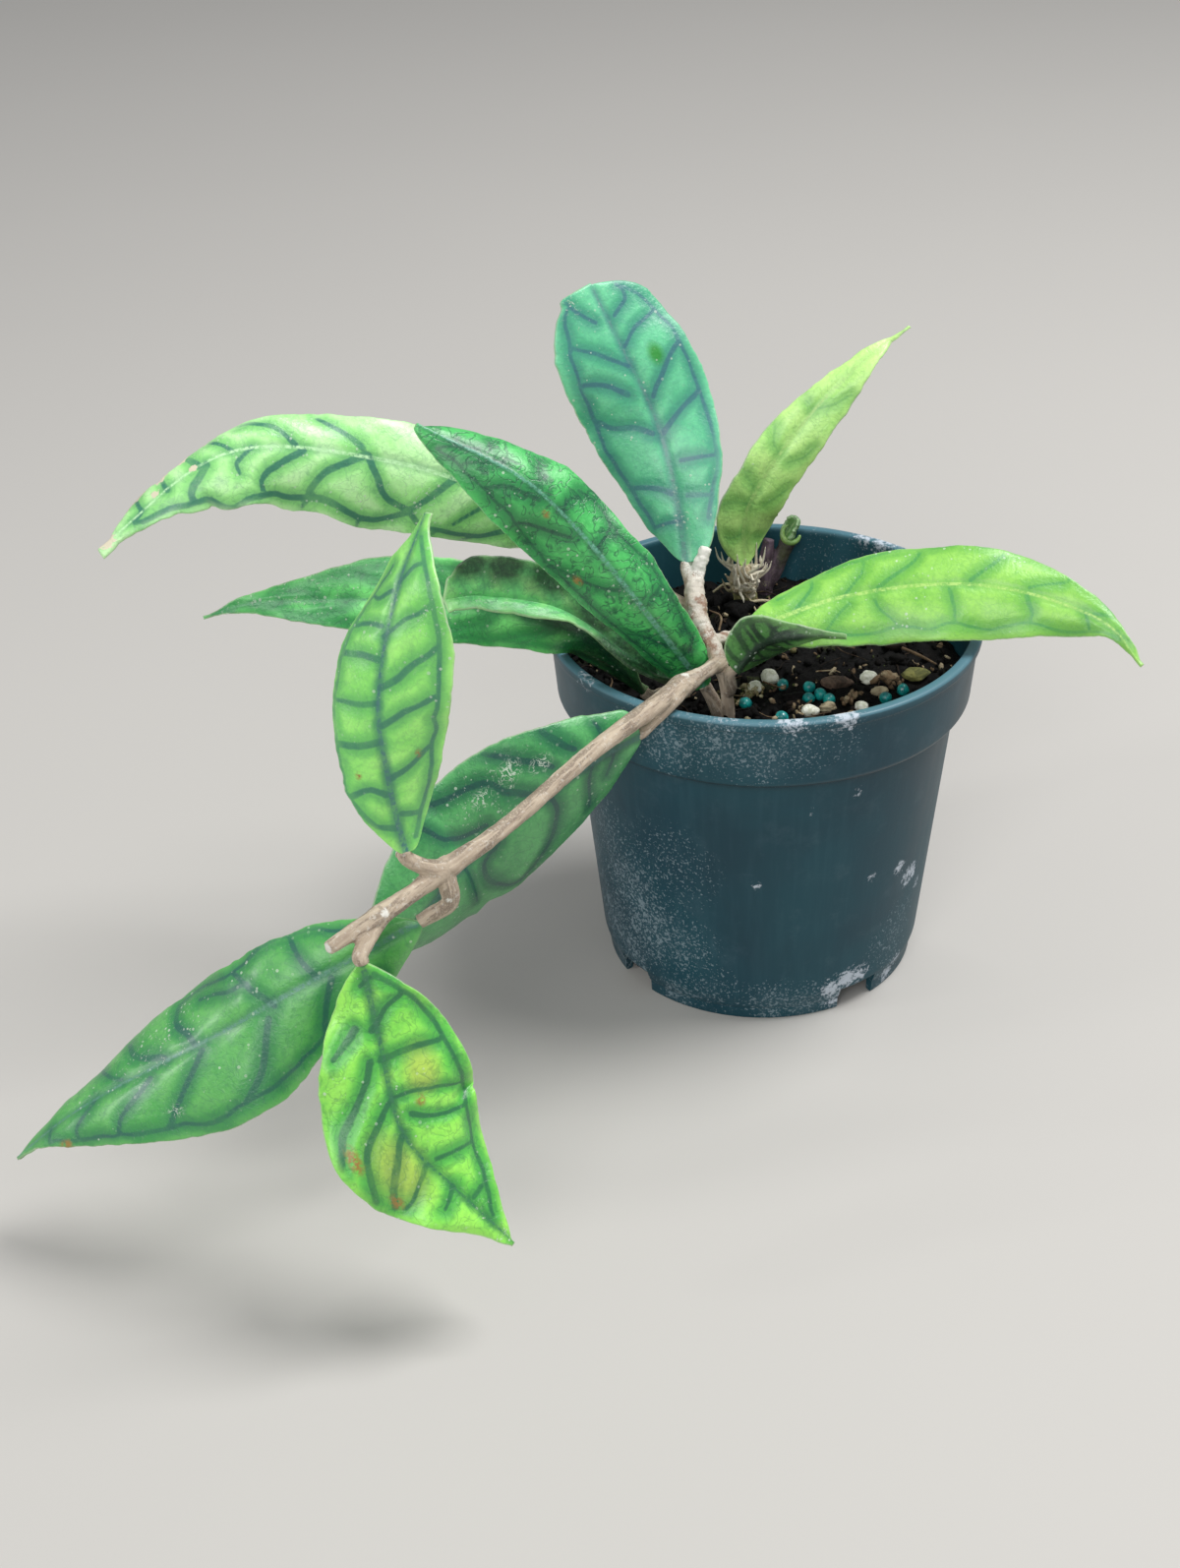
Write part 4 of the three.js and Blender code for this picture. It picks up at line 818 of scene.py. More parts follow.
def build_leaf_group():
    """The colours and low relief of a patterned hoya leaf, read from the fields on its blade."""
    inputs = [
        ("Blade", COLOUR, "6bb54c"), ("Palest", COLOUR, "92cf62"), ("Vein", COLOUR, "356a55"),
        ("Midrib", COLOUR, "3f7560"), ("Underside", COLOUR, FADED_UNDERSIDE),
        ("Underside Strength", FLOAT, 0.55), ("Vein Strength", FLOAT, 0.9), ("Net Strength", FLOAT, 0.35),
        ("Mottle", FLOAT, 0.3), ("Band", FLOAT, 0.8), ("Gloss", FLOAT, 0.3),
    ]
    outputs = [("Colour", COLOUR), ("Roughness", FLOAT), ("Coat", FLOAT), ("Height", FLOAT)]
    tree, given, out = new_group("leaf_tissue", inputs, outputs)
    place, vein = tree.place(), given["Vein"]
    soft, fine = tree.mottle(110.0, 1100.0)
    vein_gap, midrib_gap, edge_gap = tree.field("vein_gap"), tree.field("midrib_gap"), tree.field("edge_gap")
    below = tree.field("underside")

    panel = tree.times(tree.ramp(vein_gap, 0.4, 3.4), tree.ramp(soft, 0.28, 0.62, 0.25, 1.0))
    blotch = tree.ramp(tree.noise(place, 260.0, 4, 0.62), 0.52, 0.7)
    ridge = tree.math("ABSOLUTE", tree.less(tree.noise(place, 330.0, 2, 0.5, 0.6), 0.5))
    net = tree.times(tree.ramp(ridge, 0.0, 0.045, 1.0, 0.0), given["Net Strength"])
    uneven = tree.strayed(tree.strayed(vein_gap, soft, 0.6), fine, 0.5)
    halo = tree.times(tree.ramp(uneven, 0.0, 2.6, 1.0, 0.0), 0.42)
    line = tree.ramp(uneven, -0.25, 0.5, 1.0, 0.0)
    drawn = tree.times(tree.most(halo, line), given["Vein Strength"])
    drawn = tree.times(drawn, tree.ramp(soft, 0.3, 0.55, 0.72, 1.0))
    band = tree.times(tree.ramp(tree.strayed(midrib_gap, fine, 1.4), -0.3, 1.2, 1.0, 0.0), given["Band"])
    band = tree.times(band, tree.ramp(soft, 0.3, 0.6, 0.6, 1.0))
    keel = tree.times(tree.ramp(midrib_gap, -0.4, 0.0, 1.0, 0.0), tree.ramp(fine, 0.38, 0.62, 0.15, 0.95))
    rim = tree.ramp(tree.plus(edge_gap, tree.times(fine, 0.5)), 0.3, 0.75, 0.8, 0.0)
    outer = tree.times(tree.ramp(edge_gap, 0.4, 2.4, 0.5, 0.0), tree.ramp(soft, 0.35, 0.6))
    # Painted shade: the dark marks, where other leaves shade the blade
    shade = tree.times(tree.field("dark"), tree.ramp(fine, 0.2, 0.6, 0.75, 0.92))
    stain = tree.times(tree.field("stain"), tree.ramp(fine, 0.35, 0.55))
    dead = tree.ramp(tree.strayed(tree.field("dead"), fine, 2.2), 0.35, 0.6)
    dead = tree.times(dead, tree.ramp(tree.field("dead"), 0.0, 0.2))
    scratch = tree.math("ABSOLUTE", tree.less(tree.noise(place, 420.0, 3, 0.6, 1.2), 0.5))
    scratch = tree.times(tree.field("scar"), tree.ramp(scratch, 0.012, 0.04, 1.0, 0.0))
    # Frost: a faint whitish film over every blade, stronger at its marks; near the tips of some leaves the
    # marks are painted sheen.
    frost = tree.ramp(tree.noise(place, 1500.0, 4, 0.7), 0.56, 0.66)
    frost = tree.times(frost, tree.ramp(tree.noise(place, 380.0, 3), 0.45, 0.6))
    frost = tree.times(frost, tree.plus(tree.field("frost"), 0.12))
    # White specks: partly specks on the leaf and partly painted glints
    specks_and_glints = tree.times(tree.specks(900.0, 0.34, 0.32), 0.7)
    white = tree.most(scratch, tree.most(specks_and_glints, frost), clamp=True)
    colour = tree.layered(
        given["Blade"],
        (panel, given["Palest"]),
        (tree.times(tree.field("pale"), 0.75), "c3d95e"),
        (tree.times(blotch, given["Mottle"]), vein),
        (tree.times(tree.specks(330.0, 0.2, 0.3), given["Mottle"]), vein),
        (tree.ramp(fine, 0.35, 0.7, 0.0, 0.16), vein),
        (net, vein),
        (drawn, vein),
        (band, vein),
        (keel, given["Midrib"]),
        (rim, "b4c8a4"),
        (outer, given["Palest"]),
        # painted shade from the dark marks
        (shade, "0d2b1c"),
        (tree.times(below, given["Underside Strength"]), given["Underside"]),
        (stain, STAIN_TINT),
        (tree.times(tree.field("window"), 0.9), "2f8f2c"),
        (dead, DEAD_TINT),
        # whitish scars, specks and film, with painted glints and sheen among them
        (tree.times(white, 0.8), "d6e4d2"),
    )
    tree.feed(out["Colour"], colour)
    rough = tree.plus(tree.strayed(given["Gloss"], soft, 0.3), tree.times(below, 0.2))
    tree.feed(out["Roughness"], tree.plus(rough, tree.times(white, 0.3), clamp=True))
    coat = tree.times(tree.ramp(below, 0.0, 1.0, 0.32, 0.05), tree.ramp(soft, 0.3, 0.6, 0.6, 1.0))
    tree.feed(out["Coat"], coat)
    tree.feed(out["Height"], tree.plus(tree.less(fine, tree.times(net, 0.6)), tree.times(white, 0.4)))


GROUP_BUILDERS = {
    "scattered_specks": build_specks_group,
    "natural_mottle": build_mottle_group,
    "leaf_tissue": build_leaf_group,
}


# Leaves


def blade_half(leaf, along, side):
    """Half the blade's width at places along the midrib, on its left side (-1) or its right (1)."""
    before = along < leaf["widest"]
    reach = np.where(before, 1 - along / leaf["widest"], (along - leaf["widest"]) / (1 - leaf["widest"]))
    shape = np.where(before, leaf["base_shape"], leaf["tip_shape"])
    outline = np.maximum(0, 1 - reach**2) ** shape
    least = NECK_HALF + (TIP_HALF - NECK_HALF) * along
    full = leaf["half"] * (leaf["left_share"] if side < 0 else 1)
    trim = np.array(leaf["trim_left"] if side < 0 else leaf["trim_right"]) / 10
    added = sum(np.interp(along + step, TRIM_PLACES, trim) for step in (-0.015, 0, 0.015)) / 3
    return np.maximum(LEAST_HALF, least + np.maximum(0, full - least) * outline + added)


def ragged(run, side, seed):
    """How far the edge strays in and out at distances along the midrib, in millimetres."""
    spots = np.column_stack([run, np.full(len(run), 31.7 * side), np.full(len(run), 5.3 * seed)])
    fade = np.clip(run / 8, 0, 1) * np.clip((run[-1] - run) / 6, 0, 1)
    coarse, fine, finest = (noise(spots, scale, seed + k) for k, scale in enumerate((5, 2.1, 0.9)))
    return fade * (0.3 * coarse + 0.2 * fine + 0.1 * finest)


def blade_points(leaf, along, across, half, lift):
    """Points of the blade, row by row. lift is how far each lies above the blade's middle surface."""
    middle = curve_points(leaf["midrib"], along)[:, None]
    steady = leaf.get("steady", 0)
    nearby = (np.clip(along + steady * k, 0, 1) for k in (-1, -0.5, 0, 0.5, 1))
    ahead = unit(sum(curve_headings(leaf["midrib"], places) for places in nearby))
    low, high = (np.array(f, float) for f in leaf["face"])
    up = low * (1 - along[:, None]) + high * along[:, None]
    up = unit(up - (up * ahead).sum(1)[:, None] * ahead)
    right = np.cross(ahead, up)[:, None]
    up = up[:, None]
    side = np.sign(across)[None]
    out = np.abs(across)[None]
    curl, fold = math.radians(leaf["curl"]), math.radians(leaf["fold"])
    turn = curl * out
    reach = half * np.sin(turn) / curl
    drop = half * (1 - np.cos(turn)) / curl
    sideways = reach * math.cos(fold) + drop * math.sin(fold)
    swell = np.sqrt(np.maximum(0, np.sin(np.pi * along)))[:, None]
    ripple = leaf["wave"] * swell * out**2 * np.sin(2 * np.pi * leaf["waves"] * along[:, None] + side)
    height = reach * math.sin(fold) - drop * math.cos(fold) + ripple
    shift = side * (sideways - lift * np.sin(fold - turn))
    rise = height + lift * np.cos(fold - turn)
    return middle + right * shift[..., None] + up * rise[..., None]


def gap_to_paths(points, paths):
    """How far flat points are from the nearest path, less half that path's width there."""
    nearest = np.full(len(points), 1e3)
    for path, start_half, end_half in paths:
        count = len(path) - 1
        for k in range(count):
            a, b = path[k], path[k + 1]
            step = b - a
            share = np.clip(((points - a) @ step) / max(1e-9, step @ step), 0, 1)
            gap = np.linalg.norm(points - a - share[:, None] * step, axis=1)
            half = start_half + (end_half - start_half) * (k + share) / count
            nearest = np.minimum(nearest, gap - half)
    return nearest


def ruled_veins(count, seed):
    """Side veins for a leaf that shows few, with a loop near either edge."""
    draw = np.random.default_rng(seed)
    veins = []
    for side in (-1, 1):
        tops = []
        for k in range(count):
            start = 0.07 + 0.84 * (k + 0.25 * draw.random() + (0.4 if side > 0 else 0)) / count
            top = min(0.97, start + 0.06 + 0.03 * draw.random())
            veins.append([(start, 0.02 * side), (start + 0.02, 0.4 * side), (top, 0.8 * side)])
            tops.append((top, 0.82 * side))
        veins.append(tops)
    return veins


def blade_columns(count):
    """Places across the blade, closer together near its edges."""
    half = np.concatenate([np.linspace(0, 0.94, count), [0.96, 0.974, 0.986, 0.995, 1]])
    return np.concatenate([-half[:0:-1], half])


def grid_faces(index, turned=False):
    """Faces between the rows and columns of a grid of point numbers."""
    a, b, c, d = index[:-1, :-1], index[:-1, 1:], index[1:, 1:], index[1:, :-1]
    return np.stack([a, d, c, b] if turned else [a, b, c, d], -1).reshape(-1, 4).tolist()


def make_leaf(name, leaf, settings, seed, rows=BLADE_ROWS, column_count=BLADE_COLUMNS):
    """One leaf: a closed blade with rounded edges, sunken veins and soft unevenness."""
    even = np.linspace(0, 1, rows + 1)
    along = (even + (1 - np.cos(np.pi * even)) / 2) / 2
    across = blade_columns(column_count)
    run = lengths_along(curve_points(leaf["midrib"], along))
    halves = {side: blade_half(leaf, along, side) + ragged(run, side, seed) for side in (-1, 1)}
    for side, place, depth, reach in leaf.get("dents", ()):
        halves[side] = halves[side] + depth * bell((run - place * run[-1]) / reach)
    halves = {side: np.maximum(LEAST_HALF, half) for side, half in halves.items()}
    half = np.where(across[None] < 0, halves[-1][:, None], halves[1][:, None])
    flat = np.stack([np.repeat(run[:, None], len(across), 1), across[None] * half], -1)

    def flat_path(path, steps=7):
        path = np.array(path, float)
        if len(path) > 2:
            path = curve_points(path, np.linspace(0, 1, steps * (len(path) - 1) + 1))
        left, right = (np.interp(path[:, 0], along, halves[side]) for side in (-1, 1))
        wide = np.where(path[:, 1] < 0, left, right)
        return np.stack([np.interp(path[:, 0], along, run), path[:, 1] * wide], -1)

    keys = ("main_veins", "side_veins")
    main_veins, side_veins = ([np.reshape(path, (-1, 2)) / 100 for path in leaf[key]] for key in keys)
    if "ruled" in leaf:
        side_veins = side_veins + ruled_veins(leaf["ruled"], seed)
    width = leaf["looks"][4] * settings.vein_width / MM / 2
    paths = [(flat_path(vein), 0.85 * width, 0.7 * width) for vein in main_veins]
    paths += [(flat_path(vein), 0.62 * width, 0.48 * width) for vein in side_veins]
    spots = flat.reshape(-1, 2)
    wander = VEIN_WANDER * noise(np.column_stack([spots, np.full(len(spots), seed * 7.3)]), 4, seed)
    bent = spots + np.column_stack([wander, -wander])
    vein_gap = gap_to_paths(bent, paths) if paths else np.full(len(spots), 20.0)
    midrib_gap = gap_to_paths(spots, [(np.array([[run[0], 0], [run[-1], 0]]), 0.8, 0.4)])
    tip_gap = (run[-1] - flat[..., 0]) + 0.01
    edge_gap = np.minimum(half * (1 - np.abs(across[None])), tip_gap)
    from_midrib = np.maximum(midrib_gap, 0).reshape(half.shape)
    groove = np.minimum(np.maximum(vein_gap, 0).reshape(half.shape), from_midrib)
    relief = leaf.get("relief", settings.relief / MM)
    bulge = relief * (1 - bell(groove / PANEL_REACH)) * np.clip(edge_gap / 2, 0, 1)
    grid = np.concatenate([flat, np.full((*half.shape, 1), seed * 11.7)], -1)
    sway = 0.32 * noise(grid, 15, seed) + 0.12 * noise(grid, 6, seed + 3)
    sway = sway * np.clip(run[:, None] / 6, 0, 1)
    thickest, thinnest = settings.midrib_thickness / MM, settings.edge_thickness / MM
    thickness = np.interp(np.abs(across), [0, 1], [thickest, thinnest])
    neck = np.exp(-run / NECK_REACH)[:, None] * NECK_SWELL
    rounding = np.sqrt(1 - (1 - np.clip(edge_gap / EDGE_ROUNDING, 0, 1)) ** 2)
    hollow = MIDRIB_HOLLOW * bell(from_midrib / 0.6)
    keel = KEEL_DEPTH * bell(flat[..., 1] / 0.9) * np.clip(tip_gap / 20, 0.2, 1)
    body = (thickness[None] / 2 + neck) * rounding
    top = blade_points(leaf, along, across, half, body + bulge + sway - hollow)
    low = blade_points(leaf, along, across, half, -body - keel * rounding + bulge + sway)

    # The lower face shares the upper face's points along both edges
    columns = len(across)
    count = (rows + 1) * columns
    top_index = np.arange(count).reshape(rows + 1, columns)
    low_index = top_index.copy()
    low_index[:, 1:-1] = count + np.arange((rows + 1) * (columns - 2)).reshape(rows + 1, columns - 2)
    faces = grid_faces(top_index) + grid_faces(low_index, turned=True)
    for row, turned in ((0, False), (rows, True)):
        for k in range(columns - 1):
            ring = [top_index[row, k], low_index[row, k], low_index[row, k + 1], top_index[row, k + 1]]
            ring = [int(v) for v in dict.fromkeys(ring)]
            faces.append(ring[::-1] if turned else ring)
    points = np.concatenate([top.reshape(-1, 3), low[:, 1:-1].reshape(-1, 3)])

    def both(values):
        """Values of the grid's places, for the upper face's points and then for the lower face's own."""
        values = values.reshape(half.shape)
        return np.concatenate([values.ravel(), values[:, 1:-1].ravel()])

    fields = {"vein_gap": both(vein_gap), "midrib_gap": both(midrib_gap), "edge_gap": both(edge_gap)}
    fields["underside"] = (np.arange(len(points)) >= count) * 1.0
    for kind in MARK_KINDS:
        marks = [mark[1:] for mark in leaf.get("marks", ()) if mark[0] == kind]
        patches = [(flat_path([(place, aside)])[0], radius) for place, aside, radius in marks]
        fields[kind] = both(patched(spots, patches, 1.6, 1.2, np.array([0.8, 1.2])))
    piece = new_piece(name + "_blade", points, faces, fields)
    face_outwards(piece)
    return piece


def leaf_material(name, tints, leaf, settings):
    material, tree, shader = new_material(name + "_tissue")
    values = dict(zip(("Blade", "Palest", "Vein", "Midrib"), tints))
    values |= dict(zip(("Vein_Strength", "Net_Strength", "Mottle", "Band"), leaf["looks"]))
    values["Underside"] = leaf.get("underside", FADED_UNDERSIDE)
    values["Underside_Strength"] = leaf.get("faded", 0.55)
    tissue = tree.group("leaf_tissue", Gloss=settings.roughness, **values).outputs
    tree.feed(shader.inputs["Coat Weight"], tissue["Coat"])
    shader.inputs["Coat Roughness"].default_value = 0.26
    dress(tree, shader, tissue["Colour"], tissue["Roughness"], tissue["Height"], 0.5, 0.00035)
    return material


# Stems


def petiole_path(points, leaf=None):
    """A limb's points, with its last stretch in line with the leaf that it leads to."""
    points = [np.array(p, float) for p in points]
    if leaf:
        midrib = LEAVES[leaf]["midrib"]
        ahead = curve_headings(midrib, [0])[0]
        end = np.array(midrib[0], float) - ahead * SEAT_GAP
        points += [end - ahead * PETIOLE_STRAIGHT, end + ahead * 0.6]
    return points


def limb_samples(points, radii, step=0.5):
    """Evenly timed samples along a limb: places, radii and headings."""
    rough = curve_points(points, np.linspace(0, 1, 50))
    times = np.linspace(0, 1, max(6, int(lengths_along(rough)[-1] / step)) + 1)
    radius = np.interp(times * (len(radii) - 1), np.arange(len(radii)), radii)
    return curve_points(points, times), radius, curve_headings(points, times)


def ring_faces(rings, sides):
    """Faces round a stack of rings, closed by a first and a last point that follow them."""
    faces = []
    first, top = rings * sides, (rings - 1) * sides
    for k in range(0, top, sides):
        for j in range(sides):
            n = (j + 1) % sides
            faces.append([k + j, k + n, k + sides + n, k + sides + j])
    for j in range(sides):
        n = (j + 1) % sides
        faces += [[first, n, j], [first + 1, top + j, top + n]]
    return faces


def tube(points, radii, sides=20, step=0.5, rounding=0.35):
    """A closed round limb: its points and faces."""
    centres, radius, ahead = limb_samples(points, radii, step)
    start = np.array([0, 0, 1.0]) if abs(ahead[0][2]) < 0.8 else np.array([1.0, 0, 0])
    normal = unit(start - start.dot(ahead[0]) * ahead[0])
    rings = []
    angles = angles_round(sides)
    for centre, r, heading in zip(centres, radius, ahead):
        normal = unit(normal - normal.dot(heading) * heading)
        other = np.cross(heading, normal)
        rings.append(centre + r * (np.cos(angles)[:, None] * normal + np.sin(angles)[:, None] * other))
    caps = [rings[0].mean(0) - ahead[0] * rounding, rings[-1].mean(0) + ahead[-1] * rounding]
    return np.concatenate(rings + [np.array(caps)]), ring_faces(len(rings), sides)


def limb_tubes(limbs):
    return [tube(petiole_path(points, *leaf), radii) for points, radii, *leaf in limbs]


def merged(shells):
    """Several shells as one list of points and faces."""
    points, faces, offset = [], [], 0
    for shell_points, shell_faces in shells:
        points.append(np.asarray(shell_points))
        faces += [[int(v) + offset for v in face] for face in shell_faces]
        offset += len(shell_points)
    return np.concatenate(points), faces


def grown_together(name, shells, voxel):
    """Overlapping shells grown into one smooth skin."""
    points, faces = merged(shells)
    piece = new_piece(name, points, faces)
    remesh = piece.modifiers.new("skin", "REMESH")
    remesh.mode = "VOXEL"
    remesh.voxel_size = voxel * MM
    remesh.use_smooth_shade = True
    relax = piece.modifiers.new("relax", "SMOOTH")
    relax.factor = 0.5
    relax.iterations = 3
    return applied(piece)


def joined(pieces):
    """Several pieces as one, which keeps the first one's name."""
    with bpy.context.temp_override(active_object=pieces[0], selected_editable_objects=pieces):
        bpy.ops.object.join()
    return pieces[0]


def mesh_values(elements, key):
    """A vector for each element, as rows."""
    values = np.empty(len(elements) * 3)
    elements.foreach_get(key, values)
    return values.reshape(-1, 3)


def mesh_points(piece):
    """A piece's points in millimetres."""
    return mesh_values(piece.data.vertices, "co") / MM


def places_on_limbs(points, limbs, chunk=4000):
    """For each point, how far along its nearest limb it is, and its offset from that limb's middle line."""
    samples, runs, headings = [], [], []
    offset = 0.0
    for path, radii, *leaf in limbs:
        centres, _, ahead = limb_samples(petiole_path(path, *leaf), radii)
        steps = lengths_along(centres)
        samples.append(centres)
        runs.append(steps + offset)
        headings.append(ahead)
        offset += steps[-1] + 37
    samples, runs, headings = np.concatenate(samples), np.concatenate(runs), np.concatenate(headings)
    run, offsets = np.empty(len(points)), np.empty((len(points), 3))
    for k in range(0, len(points), chunk):
        part = points[k : k + chunk]
        nearest = ((part[:, None] - samples[None]) ** 2).sum(-1).argmin(1)
        away = part - samples[nearest]
        forward = (away * headings[nearest]).sum(1)
        run[k : k + chunk] = runs[nearest] + forward
        offsets[k : k + chunk] = away - forward[:, None] * headings[nearest]
    return run, offsets


def weather_stem(piece, limbs, nodes=(), scars=(), rough=0.09, second=None, seed=3):
    """Swollen, ringed nodes and corky unevenness, and fields for the bark's colours."""
    points, normals = mesh_points(piece), mesh_values(piece.data.vertex_normals, "vector")
    run, offsets = places_on_limbs(points, limbs)
    streaked = offsets + 0.16 * run[:, None] * np.array([0.6, 0.5, 0.62])
    push = rough * rough_noise(points, 2.4, seed) + 0.06 * noise(streaked, 0.7, seed + 9)
    knots = np.zeros(len(points))
    for place, swell, reach in nodes:
        near = bell(np.linalg.norm(points - np.array(place), axis=1) / reach)
        knots = np.maximum(knots, near)
        push = push + swell * near * (0.65 + 0.5 * noise(points, 1.5, seed + 2))
    ring = np.abs(np.sin(np.pi * run / RING_SPACING + 0.8 * noise(points, 3, seed + 5)))
    push = push - RING_DEPTH * bell(ring / 0.25) * np.clip(knots * 1.6 - 0.2, 0, 1)
    aged = second(points) if second else np.zeros(len(points))
    push = push + aged * (0.3 * rough_noise(points, 1.9, seed + 7, 3) - 0.09 * bell(ring / 0.3))
    pale = patched(points, scars, 1.5, 1.2)
    push = push + 0.12 * pale * rough_noise(points, 0.8, seed + 4, 2)
    piece.data.vertices.foreach_set("co", ((points + normals * push[:, None]) * MM).ravel())
    piece.data.update()
    for key, values in {"aged": aged, "knots": knots, "pale_cork": pale, "stem_place": streaked}.items():
        add_field(piece, key, values)


def old_wood(points):
    """How much of the vine is old and corky: its stretch above the joint."""
    return np.clip((points[:, 2] - 96.6) / 1.5, 0, 1) * np.clip((points[:, 0] + 21) / 2, 0, 1)


def rear_stalk(points):
    """How much of the cut petioles is olive: the taller stalk's upper part."""
    return np.clip((points[:, 0] - 7.4) / 1.2, 0, 1) * np.clip((points[:, 2] - 82) / 4, 0, 1) * 0.9


def low_bulb(points):
    """How much of the back shoot is green: its swollen foot."""
    return np.clip((84.5 - points[:, 2]) / 2.5, 0, 1)


def dried_root_shells():
    """Stout dried roots low round the back shoot."""
    draw = np.random.default_rng(ROOT_SEED)
    shells = []
    for _ in range(DRIED_ROOTS):
        ahead = level(draw.uniform(0, 2 * np.pi))
        start = np.array([-1.8, 33.4, 80.5 + 5 * draw.random()])
        reach, rise = 3.2 + 2.2 * draw.random(), 1 + 2.5 * draw.random()
        middle = start + 0.5 * reach * ahead + np.array([0, 0, 0.2 * rise]) + 0.5 * draw.normal(size=3)
        end = start + reach * ahead + np.array([0, 0, rise])
        shells.append(tube([start, middle, end], [0.55, 0.45, 0.3], 8, 0.5, 0.15))
    return shells


def dried_spikes():
    """Pale dried roots that stand up in front of the back shoot, curled and crossing."""
    draw = np.random.default_rng(SPIKE_SEED)
    shells = []
    for k in range(DRIED_SPIKES):
        ahead = level(-np.pi / 2 + 3.2 * (draw.random() - 0.5))
        start = np.array([-1.6, 32.4, 83.5 + 6.5 * draw.random()]) + 1.2 * ahead
        reach, rise = 2 + 3.4 * draw.random(), 3.2 * draw.normal() if k % 2 else 4 + 5.5 * draw.random()
        rise = max(-2, rise)
        bend = np.array([1.6, 0.7, 0.9]) * draw.normal(size=3)
        stops = [(0, 0, 0), (0.6, 0.15, -0.4), (0.9, 0.55, 0.6), (1, 1, 0.9)]
        path = [start + out * reach * ahead + (0, 0, up * rise) + curl * bend for out, up, curl in stops]
        thick = 0.3 + 0.24 * draw.random()
        shells.append(tube(path, [thick * 1.5, thick, thick * 0.85, 0.08], 8, 0.45, 0.05))
    points, faces = merged(shells)
    pale = np.full(len(points), 0.75)
    fields = {"pale_cork": pale, "knots": np.zeros(len(points)), "stem_place": points * 0.4}
    return new_piece("dried_spikes", points, faces, fields)


def torn_rim():
    """The pale torn edge that curls round the cut petiole's top like a C."""
    turns = np.radians(np.linspace(110, 345, 12))
    sine = np.sin(turns)
    path = np.column_stack([11.6 + 2.3 * np.cos(turns), 42.6 + 1.0 * sine, 93.6 + 2.1 * sine])
    points, faces = tube(path, [0.35, 0.6, 0.8, 0.75, 0.4], 12, 0.4, 0.3)
    fields = {"pale": np.ones(len(points)), "edge_gap": np.full(len(points), 0.5)}
    return new_piece("torn_rim", points, faces, fields)


def bark_material(name, base, settings):
    """Bark in three tones that run along the stem, with darker patches and pale corky scars."""
    material, tree, shader = new_material(name)
    light, dark, pale, *aged, patchy = BARKS[name]
    place, along = tree.place(), tree.field("stem_place", "Vector")
    soft, fine = tree.mottle(300.0, 2600.0)
    streaks, threads = tree.noise(along, 0.8, 5, 0.6, 0.3), tree.noise(along, 4.5, 3, 0.6)
    patches = tree.ramp(tree.noise(along, 0.5, 4, 0.6), 0.5, 0.56)
    patches = tree.times(patches, tree.ramp(fine, 0.36, 0.52, 0.2, 1.0))
    flakes = tree.ramp(tree.noise(place, 1000.0, 4, 0.65), 0.56, 0.66)
    crusted = tree.mix(tree.ramp(tree.noise(place, 260.0, 5, 0.7), 0.4, 0.56), *aged)
    knotted = tree.times(tree.field("knots"), tree.ramp(soft, 0.4, 0.6, 0.1, 0.6))
    cork = tree.ramp(tree.strayed(tree.field("pale_cork"), fine, 1.6), 0.3, 0.7)
    cork = tree.times(cork, tree.ramp(tree.field("pale_cork"), 0.0, 0.2))
    colour = tree.layered(
        (*base, 1),
        (tree.ramp(streaks, 0.3, 0.7), light),
        (tree.ramp(threads, 0.5, 0.72, 0.0, 0.14), dark),
        (tree.times(patches, patchy), dark),
        (tree.times(flakes, 0.35), pale),
        (tree.times(tree.field("aged"), tree.ramp(fine, 0.3, 0.55, 0.6, 0.95)), crusted),
        (knotted, light),
        (cork, pale),
    )
    roughness = tree.ramp(streaks, 0.3, 0.7, settings.roughness - 0.1, settings.roughness + 0.1)
    dress(tree, shader, colour, roughness, tree.plus(threads, tree.times(fine, 0.7)), 0.5, 0.0002)
    return material


# Pot


def rounded_profile(profile, radius=0.45, steps=3, longest=1.4):
    """A profile with each corner turned into a small arc and long stretches divided."""
    corners = np.array(profile, float)
    made = [corners[0]]
    for before, corner, after in zip(corners, corners[1:], corners[2:]):
        one, two = before - corner, after - corner
        reach = min(radius, 0.42 * np.linalg.norm(one), 0.42 * np.linalg.norm(two))
        start, end = corner + unit(one) * reach, corner + unit(two) * reach
        for t in np.linspace(0, 1, steps + 1):
            made.append((1 - t) ** 2 * start + 2 * t * (1 - t) * corner + t**2 * end)
    made.append(corners[-1])
    full = [made[0]]
    for point in made[1:]:
        pieces = max(1, int(np.linalg.norm(point - full[-1]) / longest))
        base = full[-1]
        full += [base + (point - base) * k / pieces for k in range(1, pieces + 1)]
    return np.array(full)


def turned(profile, sides):
    """A closed turned shape from a profile that starts and ends on the axis."""
    inner = profile[1:-1]
    rings = [circle(radius, height, sides) for radius, height in inner]
    points = np.concatenate(rings + [np.array([[0, 0, profile[0][1]], [0, 0, profile[-1][1]]])])
    return points, ring_faces(len(inner), sides)


